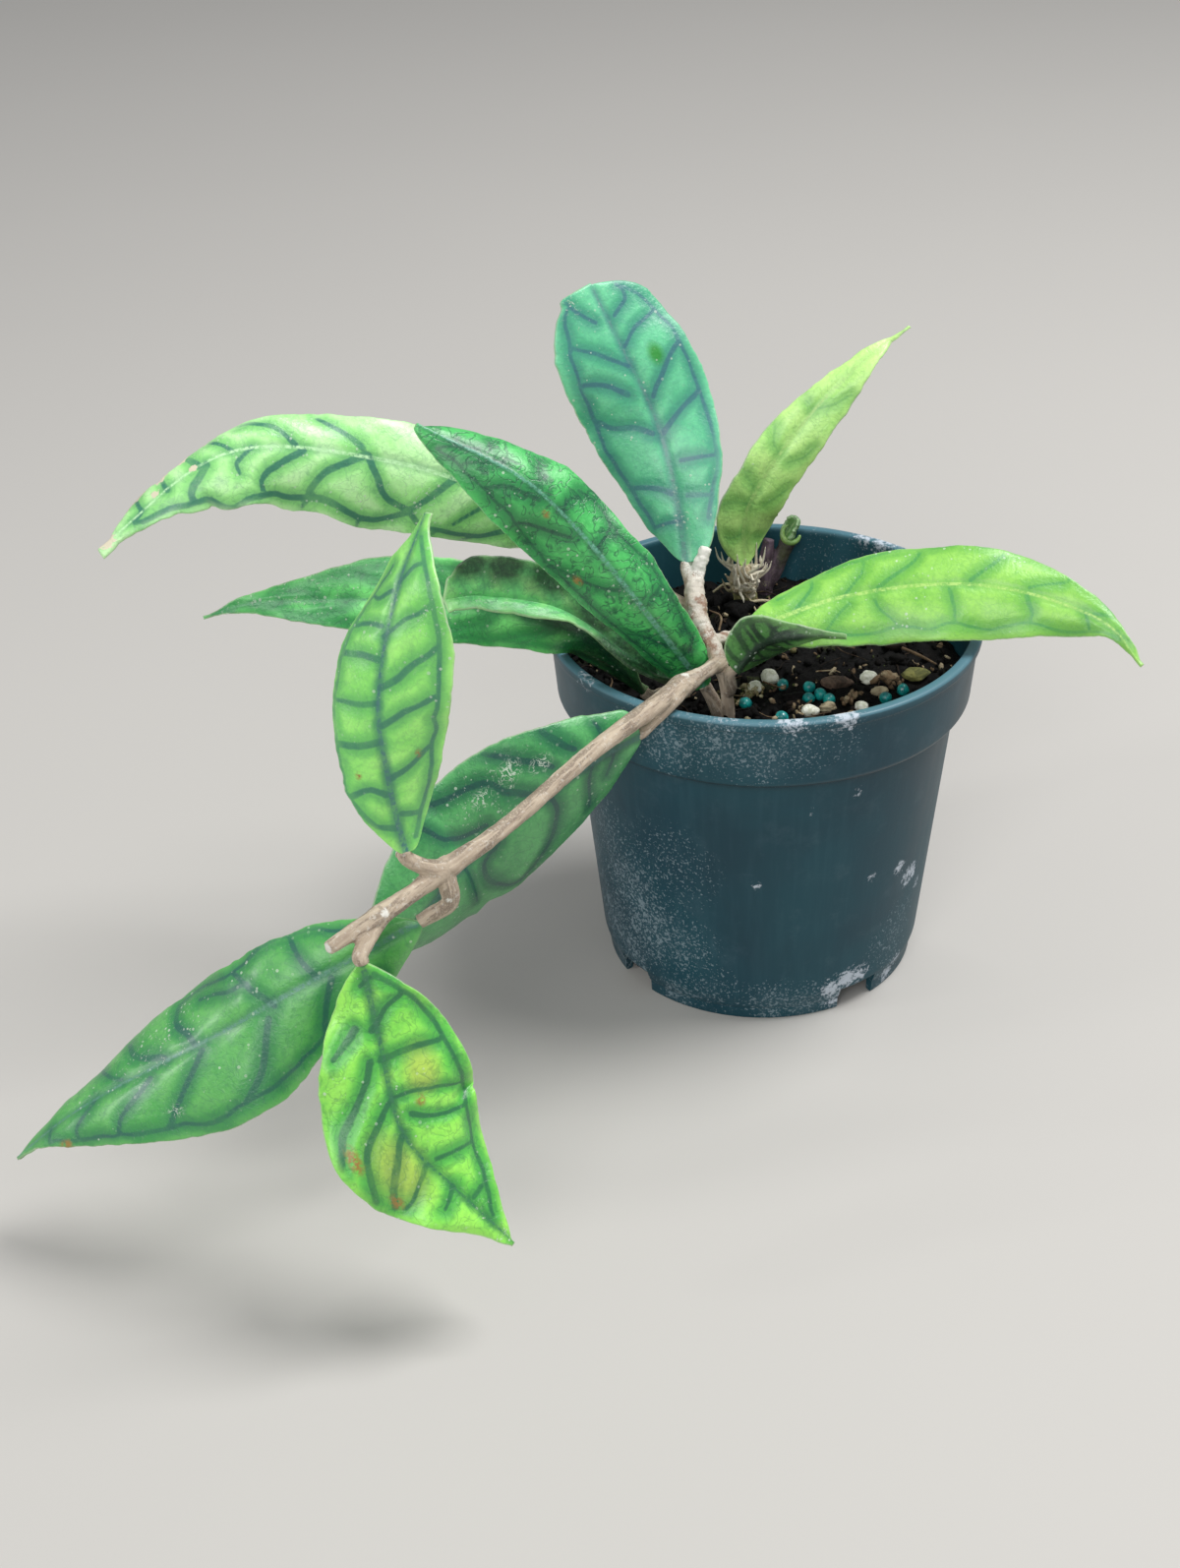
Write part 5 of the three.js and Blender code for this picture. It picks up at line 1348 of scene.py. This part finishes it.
def pot_profile():
    wall_foot = FOOT_HEIGHT + FLOOR
    band_foot = POT_HEIGHT - BAND_HEIGHT
    return [
        (0, 0),
        (CENTRE_PAD_RADIUS, 0),
        (CENTRE_PAD_RADIUS + 1, FOOT_HEIGHT),
        (FOOT_RADIUS - FOOT_WALL, FOOT_HEIGHT),
        (FOOT_RADIUS - FOOT_WALL, 0),
        (FOOT_RADIUS, 0),
        (FOOT_RADIUS + 0.2, FOOT_HEIGHT - 0.6),
        (WALL_FOOT_RADIUS, FOOT_HEIGHT),
        (WALL_FOOT_RADIUS + 0.9, FOOT_HEIGHT + 3),
        (WALL_TOP_RADIUS, band_foot - 1.2),
        (BAND_FOOT_RADIUS - 0.8, band_foot - 0.4),
        (BAND_FOOT_RADIUS, band_foot + 0.8),
        (BAND_TOP_RADIUS, POT_HEIGHT - LIP_HEIGHT - 0.5),
        (RIM_RADIUS - 0.1, POT_HEIGHT - LIP_HEIGHT),
        (RIM_RADIUS, POT_HEIGHT - 0.5),
        (RIM_RADIUS - 0.5, POT_HEIGHT),
        (BAND_TOP_RADIUS - WALL, POT_HEIGHT),
        (BAND_TOP_RADIUS - WALL - 0.4, POT_HEIGHT - 1),
        (BAND_FOOT_RADIUS - WALL, band_foot + 1.6),
        (WALL_TOP_RADIUS - WALL, band_foot - 0.6),
        (WALL_FOOT_RADIUS - WALL + 0.9, wall_foot + 2),
        (WALL_FOOT_RADIUS - WALL, wall_foot),
        (0, wall_foot),
    ]


def notch_blocks():
    """The blocks that cut the drain notches out of the foot."""
    shells = []
    tall = FOOT_HEIGHT + FLOOR + 0.4
    for k in range(NOTCHES):
        block = bmesh.new()
        bmesh.ops.create_cube(block, size=1)
        bmesh.ops.scale(block, verts=block.verts, vec=(NOTCH_DEPTH, NOTCH_WIDTH, 2 * tall))
        bmesh.ops.translate(block, verts=block.verts, vec=(FOOT_RADIUS, 0, 0))
        turn = Matrix.Rotation(math.radians(NOTCH_ANGLE) + 2 * math.pi * k / NOTCHES, 3, "Z")
        bmesh.ops.rotate(block, verts=block.verts, cent=(0, 0, 0), matrix=turn)
        shells.append(([tuple(v.co) for v in block.verts], [[v.index for v in f.verts] for f in block.faces]))
        block.free()
    return shells


def weather_pot(pot):
    """Fields for the pot's lime, the painted highlight on its lip, the painted light on its inside and the
    painted shadow under its band.
    """
    points = mesh_points(pot)
    for key, patches in (("lime", LIME_SPECKS), ("crust", LIME_CRUST)):
        mask = np.zeros(len(points))
        for place, radius, strength in patches:
            mask = np.maximum(mask, strength * patched(points, [(place, radius)], 1.35, 1))
        add_field(pot, key, mask)
    height = points[:, 2]
    around = np.hypot(points[:, 0], points[:, 1])
    band_foot = POT_HEIGHT - BAND_HEIGHT
    # Painted highlight: the lip's top is lighter where light catches it.
    lip = np.clip((height - (POT_HEIGHT - 0.9)) / 0.5, 0, 1) * np.clip((around - 49.5) / 1.0, 0, 1)
    add_field(pot, "lip", lip)
    # Painted light: the inside of the pot is lightened and tinted bluer.
    add_field(pot, "inner", (around < np.interp(height, INNER_HEIGHTS, INNER_RADII)) * 1.0)
    # Painted shadow: the wall just under the band's overhang is darkened.
    grime = np.clip((height - (band_foot - 3.4)) / 3.2, 0, 1)
    add_field(pot, "grime", grime * (height < band_foot + 0.3) * (around > 46.3))


def pot_material(settings):
    """Dark green plastic with fine upright streaks, dull scuffs and lime left by water, with a painted
    highlight on the lip, painted light inside and a painted shadow under the band.
    """
    material, tree, shader = new_material("pot_plastic")
    place = tree.place()
    soft, fine = tree.mottle(22.0, 1500.0)
    upright = tree.noise(tree.stretched(place, (500, 500, 12)), 1.0, 4)
    lime, crust = tree.field("lime"), tree.field("crust")
    reach = tree.times(lime, 0.115)
    spots = tree.ramp(tree.plus(tree.noise(place, 520.0, 4, 0.7), reach), 0.665, 0.71)
    spray = tree.ramp(tree.plus(tree.noise(place, 1500.0, 3, 0.6), reach), 0.63, 0.69)
    specks = tree.times(tree.most(spots, spray), tree.ramp(lime, 0.0, 0.2))
    film = tree.times(tree.ramp(lime, 0.3, 1.2, 0.0, 0.1), tree.ramp(fine, 0.3, 0.6))
    thin = tree.most(tree.times(specks, 0.45), film)
    patch = tree.strayed(crust, tree.noise(place, 750.0, 5, 0.75), 4.0)
    patch = tree.times(tree.ramp(patch, 0.4, 1.0), tree.ramp(crust, 0.02, 0.3))
    white = tree.most(thin, patch)
    colour = tree.layered(
        (*settings.plastic, 1),
        (tree.ramp(soft, 0.3, 0.7), (*settings.plastic_light, 1)),
        (tree.times(tree.ramp(upright, 0.45, 0.75), 0.05), "5f858f"),
        (tree.ramp(tree.noise(place, 120.0, 5, 0.65), 0.52, 0.78, 0.0, 0.08), "8296a0"),
        # painted highlight on the lip's top
        (tree.times(tree.field("lip"), 0.5), "6f9aa8"),
        # painted shadow under the band
        (tree.times(tree.field("grime"), 0.6), "081318"),
        # painted light inside the pot
        (tree.times(tree.field("inner"), 0.4), "356673"),
        (thin, "9fb0b8"),
        (tree.times(patch, 0.9), "c3ccd6"),
    )
    least, most = settings.roughness - 0.06, settings.roughness + 0.1
    rough = tree.ramp(tree.plus(soft, tree.times(upright, 0.3)), 0.4, 0.9, least, most)
    height = tree.plus(tree.plus(tree.times(white, 1.5), tree.times(fine, 0.2)), tree.times(upright, 0.15))
    shader.inputs["Specular IOR Level"].default_value = 0.35
    dress(tree, shader, colour, tree.plus(rough, tree.times(white, 0.4), clamp=True), height, 0.45, 0.0002)
    return material


# Soil and what lies on it


def soil_height(x, y):
    mound = SOIL_RISE * np.cos(np.hypot(x, y) / WALL_TOP_RADIUS * np.pi / 2)
    crumbs = np.sin(x * 0.41 + 1) * np.cos(y * 0.37) + 0.5 * np.sin(x * 0.93 - y * 0.71)
    return SOIL_LEVEL + mound - SOIL_RISE / 2 + 0.6 * crumbs


@functools.cache
def ball(detail):
    """The points and faces of a round ball of triangles."""
    shell = bmesh.new()
    bmesh.ops.create_icosphere(shell, subdivisions=detail, radius=1)
    points = np.array([tuple(v.co) for v in shell.verts])
    faces = [[v.index for v in f.verts] for f in shell.faces]
    shell.free()
    return points, faces


def pebble(at, radii, draw, detail, rough, tilt=True, flat=0.0):
    """An uneven lump: a ball pushed in and out, flattened on three sides, stretched and turned."""
    points, faces = ball(detail)
    offset = draw.uniform(0, 500, 3)
    lump = points * (1 + rough * rough_noise(points + offset, 0.9, 5, 3))[:, None]
    for _ in range(3 if flat else 0):
        side = unit(draw.normal(size=3))
        cut = 0.62 + 0.25 * draw.random()
        lump = lump - np.maximum(0, lump @ side - cut)[:, None] * side * flat
    lump = lump * np.array(radii)
    if tilt:
        a, b, c = draw.uniform(0, 2 * np.pi, 3)
        turn = Matrix.Rotation(a, 3, "X") @ Matrix.Rotation(b, 3, "Y") @ Matrix.Rotation(c, 3, "Z")
        lump = lump @ np.array(turn).T
    return lump + np.array(at), faces


def loose_gap(x, y):
    """How far a place on the soil lies from the nearest bead, perlite lump or bark chip."""
    spots = [(*place, BEAD_RADIUS) for place in FERTILISER_BEADS]
    spots += [(*place, max(radii[:2])) for place, radii, *_ in PERLITE + BARK_CHIPS]
    return np.min([np.hypot(x - px, y - py) - reach for px, py, reach in spots], axis=0)


def soil_body():
    """The soil without anything strewn over it: its points and faces."""
    edge = BAND_FOOT_RADIUS - SOIL_GAP
    angles = angles_round(SOIL_SIDES)
    radii = edge * np.linspace(0, 1, SOIL_RINGS + 1)[1:] ** 0.92
    x, y = radii[:, None] * np.cos(angles), radii[:, None] * np.sin(angles)
    flat = np.stack([x, y, np.zeros_like(x)], -1)
    grain = 0.9 * rough_noise(flat, 5, 11, 4, 0.62) + 0.45 * np.abs(noise(flat, 1.3, 17))
    grain = grain * np.clip(0.2 + loose_gap(x, y) / 1.5, 0.2, 1)
    top = np.stack([x, y, soil_height(x, y) + grain - 0.7], -1).reshape(-1, 3)
    foot = FOOT_HEIGHT + FLOOR + SEAT_GAP
    band = POT_HEIGHT - BAND_HEIGHT
    lower = [
        (edge, band + 1.9),
        (WALL_TOP_RADIUS - SOIL_GAP, band - 0.4),
        (WALL_FOOT_RADIUS - SOIL_GAP + 0.9, foot + 2),
        (WALL_FOOT_RADIUS - SOIL_GAP, foot),
    ]
    skirts = [circle(radius, height, SOIL_SIDES) for radius, height in lower]
    centre = np.array([[0, 0, soil_height(0.0, 0.0)], [0, 0, foot]])
    faces = [face[::-1] for face in ring_faces(SOIL_RINGS + len(lower), SOIL_SIDES)]
    return np.concatenate([top] + skirts + [centre]), faces


def make_soil(settings):
    """The soil: a body with a crumbly top, and loose crumbs, chips and fibres strewn over it."""
    draw = np.random.default_rng(settings.seed)
    edge = BAND_FOOT_RADIUS - SOIL_GAP
    points, faces = soil_body()
    shells = [(points, faces)]
    tones = [0.06 + 0.22 * np.clip(noise(points, 3, 8), 0, 1)]
    moss = [np.clip(noise(points, 9, 4) - 0.45, 0, 1)]

    def lay(shell, tone, green=0.0):
        shells.append(shell)
        tones.append(np.full(len(shell[0]), tone))
        moss.append(np.full(len(shell[0]), green))

    def on_soil(x, y, raised):
        return x, y, float(soil_height(x, y)) + raised

    def crumb(x, y, size, tone, green, raised=0.35, clear=0.6):
        long = 1 + 1.1 * draw.random()
        if loose_gap(x, y) >= clear * size:
            radii = (size * long, size, size * 0.75)
            lay(pebble(on_soil(x, y, raised * size), radii, draw, 1, 0.38), tone, green)

    for _ in range(settings.crumbs):
        radius = (edge - 1.2) * math.sqrt(draw.random())
        angle = draw.uniform(0, 2 * np.pi)
        dark = draw.random() < DARK_SHARE
        tone = 0.03 + 0.22 * draw.random() if dark else 0.35 + 0.55 * draw.random()
        size = 0.35 + (0.95 if dark else 0.6) * draw.random() ** 2
        green = 0.7 if draw.random() < MOSSY_SHARE else 0.0
        crumb(radius * math.cos(angle), radius * math.sin(angle), size, tone, green)
    for (x, y), spread, count, size, tone, green in SOIL_CLUSTERS:
        for _ in range(count):
            dx, dy = spread * draw.normal(size=2) * 0.5
            near = math.exp(-(dx * dx + dy * dy) / spread**2)
            lump, shade = size * draw.uniform(0.6, 1.2), tone * draw.uniform(0.75, 1.1)
            crumb(x + dx, y + dy, lump, shade, green, 0.4 + 2.2 * near * draw.random(), -1.2)
    for place, radii, tone in SOIL_CHUNKS:
        lay(pebble(on_soil(*place, radii[2] * 0.45), radii, draw, 3, 0.55, tilt=False, flat=0.8), tone)
    for _ in range(settings.fibres):
        radius = (edge - 4) * math.sqrt(draw.random())
        angle, heading = draw.uniform(0, 2 * np.pi, 2)
        middle = radius * level(angle)[:2]
        reach = 1.5 + 3 * draw.random()
        path = []
        for along in (-1, -0.3, 0.4, 1):
            x, y = middle + along * reach * level(heading)[:2] + 0.5 * draw.normal(size=2)
            if math.hypot(x, y) > edge - 1:
                x, y = middle
            path.append(on_soil(x, y, 0.35 + 0.7 * draw.random()))
        thin = 0.12 + 0.14 * draw.random()
        lay(tube(path, [thin, thin, thin * 0.6], 5, 0.8, 0.1), 0.3 + 0.5 * draw.random())
    for path, radius, tone in ROOTLETS:
        lay(tube(path, [radius, radius, radius * 0.6], 8, 0.5, 0.2), tone)
    fields = {"tone": np.concatenate(tones), "moss": np.concatenate(moss)}
    return new_piece("soil_mix", *merged(shells), fields)


def soil_material():
    """Dark crumbly mix whose lumps run from near black to tan, with a little moss."""
    material, tree, shader = new_material("soil_mix_finish")
    soft, fine = tree.mottle(500.0, 2600.0)
    ramp = tree.add("ShaderNodeValToRGB")
    stops = [(0.0, "030303"), (0.25, "0d0a08"), (0.45, "2c221a"), (0.72, "75614a"), (0.98, "c2b798")]
    for k, (place, code) in enumerate(stops):
        stop = ramp.color_ramp.elements[k] if k < 2 else ramp.color_ramp.elements.new(place)
        stop.position = place
        stop.color = (*linear(code), 1)
    tree.feed(ramp.inputs[0], tree.strayed(tree.field("tone"), soft, 0.5))
    green = tree.times(tree.times(tree.field("moss"), tree.ramp(fine, 0.4, 0.6)), 0.7)
    shader.inputs["Specular IOR Level"].default_value = 0.2
    colour = tree.mix(green, ramp.outputs[0], "7c8a50")
    roughness = tree.ramp(fine, 0.3, 0.7, 0.72, 0.98)
    dress(tree, shader, colour, roughness, tree.plus(soft, tree.times(fine, 0.6)), 0.8, 0.0006)
    return material


def loose_material(name, light, dark, roughness, scale, coat, strength):
    """An uneven lump's finish, in two tones."""
    material, tree, shader = new_material(name)
    soft, fine = tree.mottle(scale, scale * 4)
    pits = tree.ramp(tree.cells(tree.place(), scale * 1.6), 0.05, 0.3)
    pitted = tree.times(tree.less(1.0, pits), 0.5)
    colour = tree.layered(light, (tree.ramp(soft, 0.35, 0.65), dark), (pitted, dark))
    rough = tree.ramp(fine, 0.3, 0.7, roughness - 0.08, roughness + 0.08)
    shader.inputs["Coat Weight"].default_value = coat
    dress(tree, shader, colour, rough, tree.plus(tree.times(pits, 0.6), fine), strength, 0.0003)
    return material


def settled(place, radii):
    x, y = place
    return (x, y, float(soil_height(x, y)) + radii[2] * (1 - SUNK_SHARE))


# What a user can change


def length_property(name, description, default, least, most):
    """A length that is given here in millimetres and kept in metres."""
    lengths = {"default": default * MM, "min": least * MM, "max": most * MM}
    look = {"subtype": "DISTANCE", "unit": "LENGTH", "precision": 5}
    return FloatProperty(name=name, description=description, **lengths, **look)


def colour_property(name, description, code):
    look = {"default": linear(code), "min": 0, "max": 1, "subtype": "COLOR"}
    return FloatVectorProperty(name=name, description=description, size=3, **look)


def roughness_property(surface, default):
    look = {"default": default, "min": 0, "max": 1, "subtype": "FACTOR"}
    return FloatProperty(name="Roughness", description=f"Roughness of the {surface}", **look)


def count_property(name, description, default, most):
    return IntProperty(name=name, description=description, default=default, min=0, max=most)


class HoyaLeafSettings(bpy.types.PropertyGroup):
    """Sizes and finish of the leaves."""

    vein_width: length_property("Vein width", "Width of a main vein's dark line", 1.5, 0.2, 4)
    relief: length_property("Relief", "How far the blade rises between its veins", 0.22, 0, 1)
    midrib_thickness: length_property("Midrib thickness", "Blade thickness at the midrib", 1.2, 0.6, 3)
    edge_thickness: length_property("Edge thickness", "Blade thickness near its edge", 0.8, 0.6, 2)
    roughness: roughness_property("waxy surface", 0.36)


LEAF_PARTS = ("blade", "palest", "vein", "midrib")
for leaf_name, leaf in LEAVES.items():
    label = leaf_name.replace("_", " ").capitalize()
    for part, code in zip(LEAF_PARTS, leaf["tints"]):
        HoyaLeafSettings.__annotations__[f"{leaf_name}_{part}"] = colour_property(
            f"{label}: {part}", f"Colour of the {part} on this leaf", code
        )


class HoyaStemSettings(bpy.types.PropertyGroup):
    """Finish of the stems."""

    voxel: length_property("Detail size", "Finest form of a stem's skin", 0.32, 0.15, 1)
    bark: colour_property("Bark", "Main colour of the vine's bark", "a3917e")
    root: colour_property("Dried roots", "Main colour of the dried roots", "a09070")
    petiole: colour_property("Cut petioles", "Main colour of the cut petioles", "43333c")
    roughness: roughness_property("bark", 0.72)


class HoyaPotSettings(bpy.types.PropertyGroup):
    """Finish of the pot."""

    plastic: colour_property("Plastic", "Main colour of the pot", "083644")
    plastic_light: colour_property("Worn plastic", "Colour of the pot where it is worn and dusty", "124551")
    roughness: roughness_property("plastic", 0.42)


class HoyaSoilSettings(bpy.types.PropertyGroup):
    """What the soil holds."""

    seed: IntProperty(name="Seed", description="Another seed strews the crumbs another way", default=12)
    crumbs: count_property("Crumbs", "How many crumbs lie on the soil", 1000, 2000)
    fibres: count_property("Fibres", "How many fibres lie on the soil", 110, 400)


class HoyaStageSettings(bpy.types.PropertyGroup):
    """The studio around the plant."""

    floor_colour: colour_property("Floor", "Colour of the plain floor", "bdbab5")
    light: FloatProperty(name="Light", description="Brightness of all lamps", default=1.0, min=0, max=5)


# Operators


class HOYA_OT_leaves(bpy.types.Operator):
    """Make the twelve leaves and the torn leaf base"""

    bl_idname = "hoya.leaves"
    bl_label = "Leaves"

    def execute(self, context):
        settings = context.scene.hoya_leaves
        for seed, (name, leaf) in enumerate(LEAVES.items(), 1):
            tints = [(*getattr(settings, f"{name}_{part}"), 1) for part in LEAF_PARTS]
            material = leaf_material(name, tints, leaf, settings)
            finish_piece(make_leaf(name, leaf, settings, seed), material, leaf["slot"], name)
        remnant = make_leaf("cut_leaf_remnant", CUT_REMNANT, settings, REMNANT_SEED, rows=40, column_count=12)
        remnant = joined([remnant, torn_rim()])
        material = leaf_material("cut_leaf_remnant", CUT_REMNANT["tints"], CUT_REMNANT, settings)
        finish_piece(remnant, material, CUT_REMNANT["slot"], "cut_leaf_remnant")
        return {"FINISHED"}


class HOYA_OT_stems(bpy.types.Operator):
    """Make the vine, the shoots with their dried roots and the cut petioles"""

    bl_idname = "hoya.stems"
    bl_label = "Stems"

    def execute(self, context):
        settings = context.scene.hoya_stems
        voxel = settings.voxel / MM
        bark = bark_material("vine_bark", settings.bark, settings)
        vine = grown_together("vine_stem_bark", limb_tubes(VINE_LIMBS), voxel)
        weather_stem(vine, VINE_LIMBS, VINE_NODES, VINE_SCARS, second=old_wood)
        finish_piece(vine, bark, "bark", "vine_stem")

        shoot = grown_together("left_shoot_bark", limb_tubes(LEFT_SHOOT_LIMBS), voxel)
        weather_stem(shoot, LEFT_SHOOT_LIMBS, seed=6)
        finish_piece(shoot, bark, "bark", "left_shoot")

        shells = limb_tubes(BACK_SHOOT_LIMBS) + dried_root_shells()
        back = grown_together("back_shoot_roots", shells, ROOT_VOXEL)
        weather_stem(back, BACK_SHOOT_LIMBS, scars=BACK_SCARS, rough=0.2, second=low_bulb, seed=9)
        back = joined([back, dried_spikes()])
        root = bark_material("dried_root_finish", settings.root, settings)
        finish_piece(back, root, "dried_root", "back_shoot")

        cut = grown_together("cut_petioles_skin", limb_tubes(CUT_PETIOLE_LIMBS), voxel)
        weather_stem(cut, CUT_PETIOLE_LIMBS, scars=CUT_SCARS, second=rear_stalk, seed=12)
        purple = bark_material("purple_petiole_skin", settings.petiole, settings)
        finish_piece(cut, purple, "purple_petiole", "cut_petioles")
        return {"FINISHED"}


class HOYA_OT_pot(bpy.types.Operator):
    """Make the round nursery pot with its lip, band, foot and drain notches"""

    bl_idname = "hoya.pot"
    bl_label = "Pot"

    def execute(self, context):
        pot = new_piece("pot_shell", *turned(rounded_profile(pot_profile()), POT_SIDES))
        cutter = new_piece("notch_cutter", *merged(notch_blocks()))
        for piece in (pot, cutter):
            face_outwards(piece)
        cut = pot.modifiers.new("notches", "BOOLEAN")
        cut.operation = "DIFFERENCE"
        cut.solver = "EXACT"
        cut.object = cutter
        applied(pot)
        bpy.data.objects.remove(cutter)
        pot.data.polygons.foreach_set("use_smooth", np.ones(len(pot.data.polygons), bool))
        pot.data.set_sharp_from_angle(angle=math.radians(32))
        weather_pot(pot)
        finish_piece(pot, pot_material(context.scene.hoya_pot), "pot", "pot")
        return {"FINISHED"}


class HOYA_OT_soil(bpy.types.Operator):
    """Make the soil with its crumbs, chips and fibres"""

    bl_idname = "hoya.soil"
    bl_label = "Soil"

    def execute(self, context):
        finish_piece(make_soil(context.scene.hoya_soil), soil_material(), "soil", "soil")
        return {"FINISHED"}


class HOYA_OT_loose(bpy.types.Operator):
    """Make the fertiliser beads, the perlite and the bark chips that lie on the soil"""

    bl_idname = "hoya.loose"
    bl_label = "Beads, perlite and chips"

    def execute(self, context):
        draw = np.random.default_rng(LOOSE_SEED)

        def lay(label, slot, number, place, radii, material, **form):
            piece = new_piece(f"{label}_{number}", *pebble(settled(place, radii), radii, draw, **form))
            finish_piece(piece, material, slot, f"{slot}_{number}")

        bead = loose_material("bead_coating", "14a39c", "0a6f70", 0.35, 700.0, 0.4, 0.3)
        for k, place in enumerate(FERTILISER_BEADS, 1):
            radii = np.full(3, BEAD_RADIUS) * draw.uniform(0.92, 1.08, 3)
            lay("bead", "fertiliser_bead", k, place, radii, bead, detail=3, rough=0.07)
        grit = loose_material("perlite_foam", "f2f3e6", "c6c8b2", 0.9, 800.0, 0.0, 0.9)
        for k, (place, radii) in enumerate(PERLITE, 1):
            lay("perlite_lump", "perlite", k, place, radii, grit, detail=4, rough=0.16, tilt=False)
        for k, (place, radii, light, dark) in enumerate(BARK_CHIPS, 1):
            wood = loose_material(f"bark_chip_{k}_finish", light, dark, 0.9, 350.0, 0.0, 0.9)
            lay("bark_lump", "bark_chip", k, place, radii, wood, detail=4, rough=0.2, tilt=False, flat=0.8)
        return {"FINISHED"}


def place_camera(scene):
    """The camera at the photograph's viewing angle."""
    level = Vector((math.sin(CAMERA_YAW), math.cos(CAMERA_YAW), 0))
    right = Vector((math.cos(CAMERA_YAW), -math.sin(CAMERA_YAW), 0))
    ahead = level * math.cos(CAMERA_PITCH) - Vector((0, 0, 1)) * math.sin(CAMERA_PITCH)
    up = level * math.sin(CAMERA_PITCH) + Vector((0, 0, 1)) * math.cos(CAMERA_PITCH)
    x = right * math.cos(CAMERA_ROLL) + up * math.sin(CAMERA_ROLL)
    y = up * math.cos(CAMERA_ROLL) - right * math.sin(CAMERA_ROLL)
    turn = Matrix((x, y, -ahead)).transposed()
    lens = bpy.data.cameras.new("photo_camera")
    lens.sensor_width = 36
    lens.lens = CAMERA_LENS
    lens.clip_start = 0.01
    lens.clip_end = 50
    camera = bpy.data.objects.new("photo_camera", lens)
    camera.matrix_world = Matrix.Translation(CAMERA_PLACE) @ turn.to_4x4()
    scene.collection.objects.link(camera)
    scene.camera = camera


class HOYA_OT_stage(bpy.types.Operator):
    """Make the plain floor, the soft lights and the camera"""

    bl_idname = "hoya.stage"
    bl_label = "Stage"

    def execute(self, context):
        settings, scene = context.scene.hoya_stage, context.scene
        corners = [(x * FLOOR_HALF, y * FLOOR_HALF, 0) for x, y in ((-1, -1), (1, -1), (1, 1), (-1, 1))]
        mesh = bpy.data.meshes.new("floor")
        mesh.from_pydata(corners, [], [(0, 1, 2, 3)])
        floor = bpy.data.objects.new("floor", mesh)
        scene.collection.objects.link(floor)
        material, tree, shader = new_material("floor_finish")
        paler = [min(1, c * 1.05) for c in settings.floor_colour]
        colour = tree.mix(tree.noise(tree.place(), 3.0, 3), (*settings.floor_colour, 1), (*paler, 1))
        tree.feed(shader.inputs["Base Color"], colour)
        shader.inputs["Roughness"].default_value = 0.75
        mesh.materials.append(material)
        for name, place, target, size, power in LIGHTS:
            lamp = bpy.data.lights.new(name, "AREA")
            lamp.shape = "DISK"
            lamp.size = size
            lamp.energy = power * settings.light
            source = bpy.data.objects.new(name, lamp)
            source.location = place
            source.rotation_euler = (Vector(target) - Vector(place)).to_track_quat("-Z", "Y").to_euler()
            scene.collection.objects.link(source)
        scene.world = bpy.data.worlds.new("studio")
        scene.world.use_nodes = True
        background = scene.world.node_tree.nodes["Background"]
        background.inputs["Color"].default_value = AMBIENT_TINT
        background.inputs["Strength"].default_value = AMBIENT_STRENGTH
        scene.view_settings.view_transform = "Standard"
        place_camera(scene)
        return {"FINISHED"}


class HOYA_PT_panel(bpy.types.Panel):
    """Lists the pieces of the plant and what can be changed"""

    bl_idname = "HOYA_PT_panel"
    bl_label = "Potted hoya"
    bl_space_type = "VIEW_3D"
    bl_region_type = "UI"
    bl_category = "Hoya"

    def draw(self, context):
        layout = self.layout
        for operator, settings in OPERATORS:
            box = layout.box()
            box.operator(operator.bl_idname)
            if settings:
                group = getattr(context.scene, settings)
                for key in group.bl_rna.properties.keys():
                    if key not in ("rna_type", "name"):
                        box.prop(group, key)


OPERATORS = [
    (HOYA_OT_leaves, "hoya_leaves"),
    (HOYA_OT_stems, "hoya_stems"),
    (HOYA_OT_pot, "hoya_pot"),
    (HOYA_OT_soil, "hoya_soil"),
    (HOYA_OT_loose, None),
    (HOYA_OT_stage, "hoya_stage"),
]
SETTINGS = {
    "hoya_leaves": HoyaLeafSettings,
    "hoya_stems": HoyaStemSettings,
    "hoya_pot": HoyaPotSettings,
    "hoya_soil": HoyaSoilSettings,
    "hoya_stage": HoyaStageSettings,
}
CLASSES = [*SETTINGS.values(), *(operator for operator, _ in OPERATORS), HOYA_PT_panel]


def register():
    for one in CLASSES:
        bpy.utils.register_class(one)
    for key, group in SETTINGS.items():
        setattr(bpy.types.Scene, key, PointerProperty(type=group))


def unregister():
    for key in SETTINGS:
        delattr(bpy.types.Scene, key)
    for one in reversed(CLASSES):
        bpy.utils.unregister_class(one)


def main():
    register()
    for operator, _ in OPERATORS:
        group, name = operator.bl_idname.split(".")
        getattr(getattr(bpy.ops, group), name)()


if __name__ == "__main__":
    main()
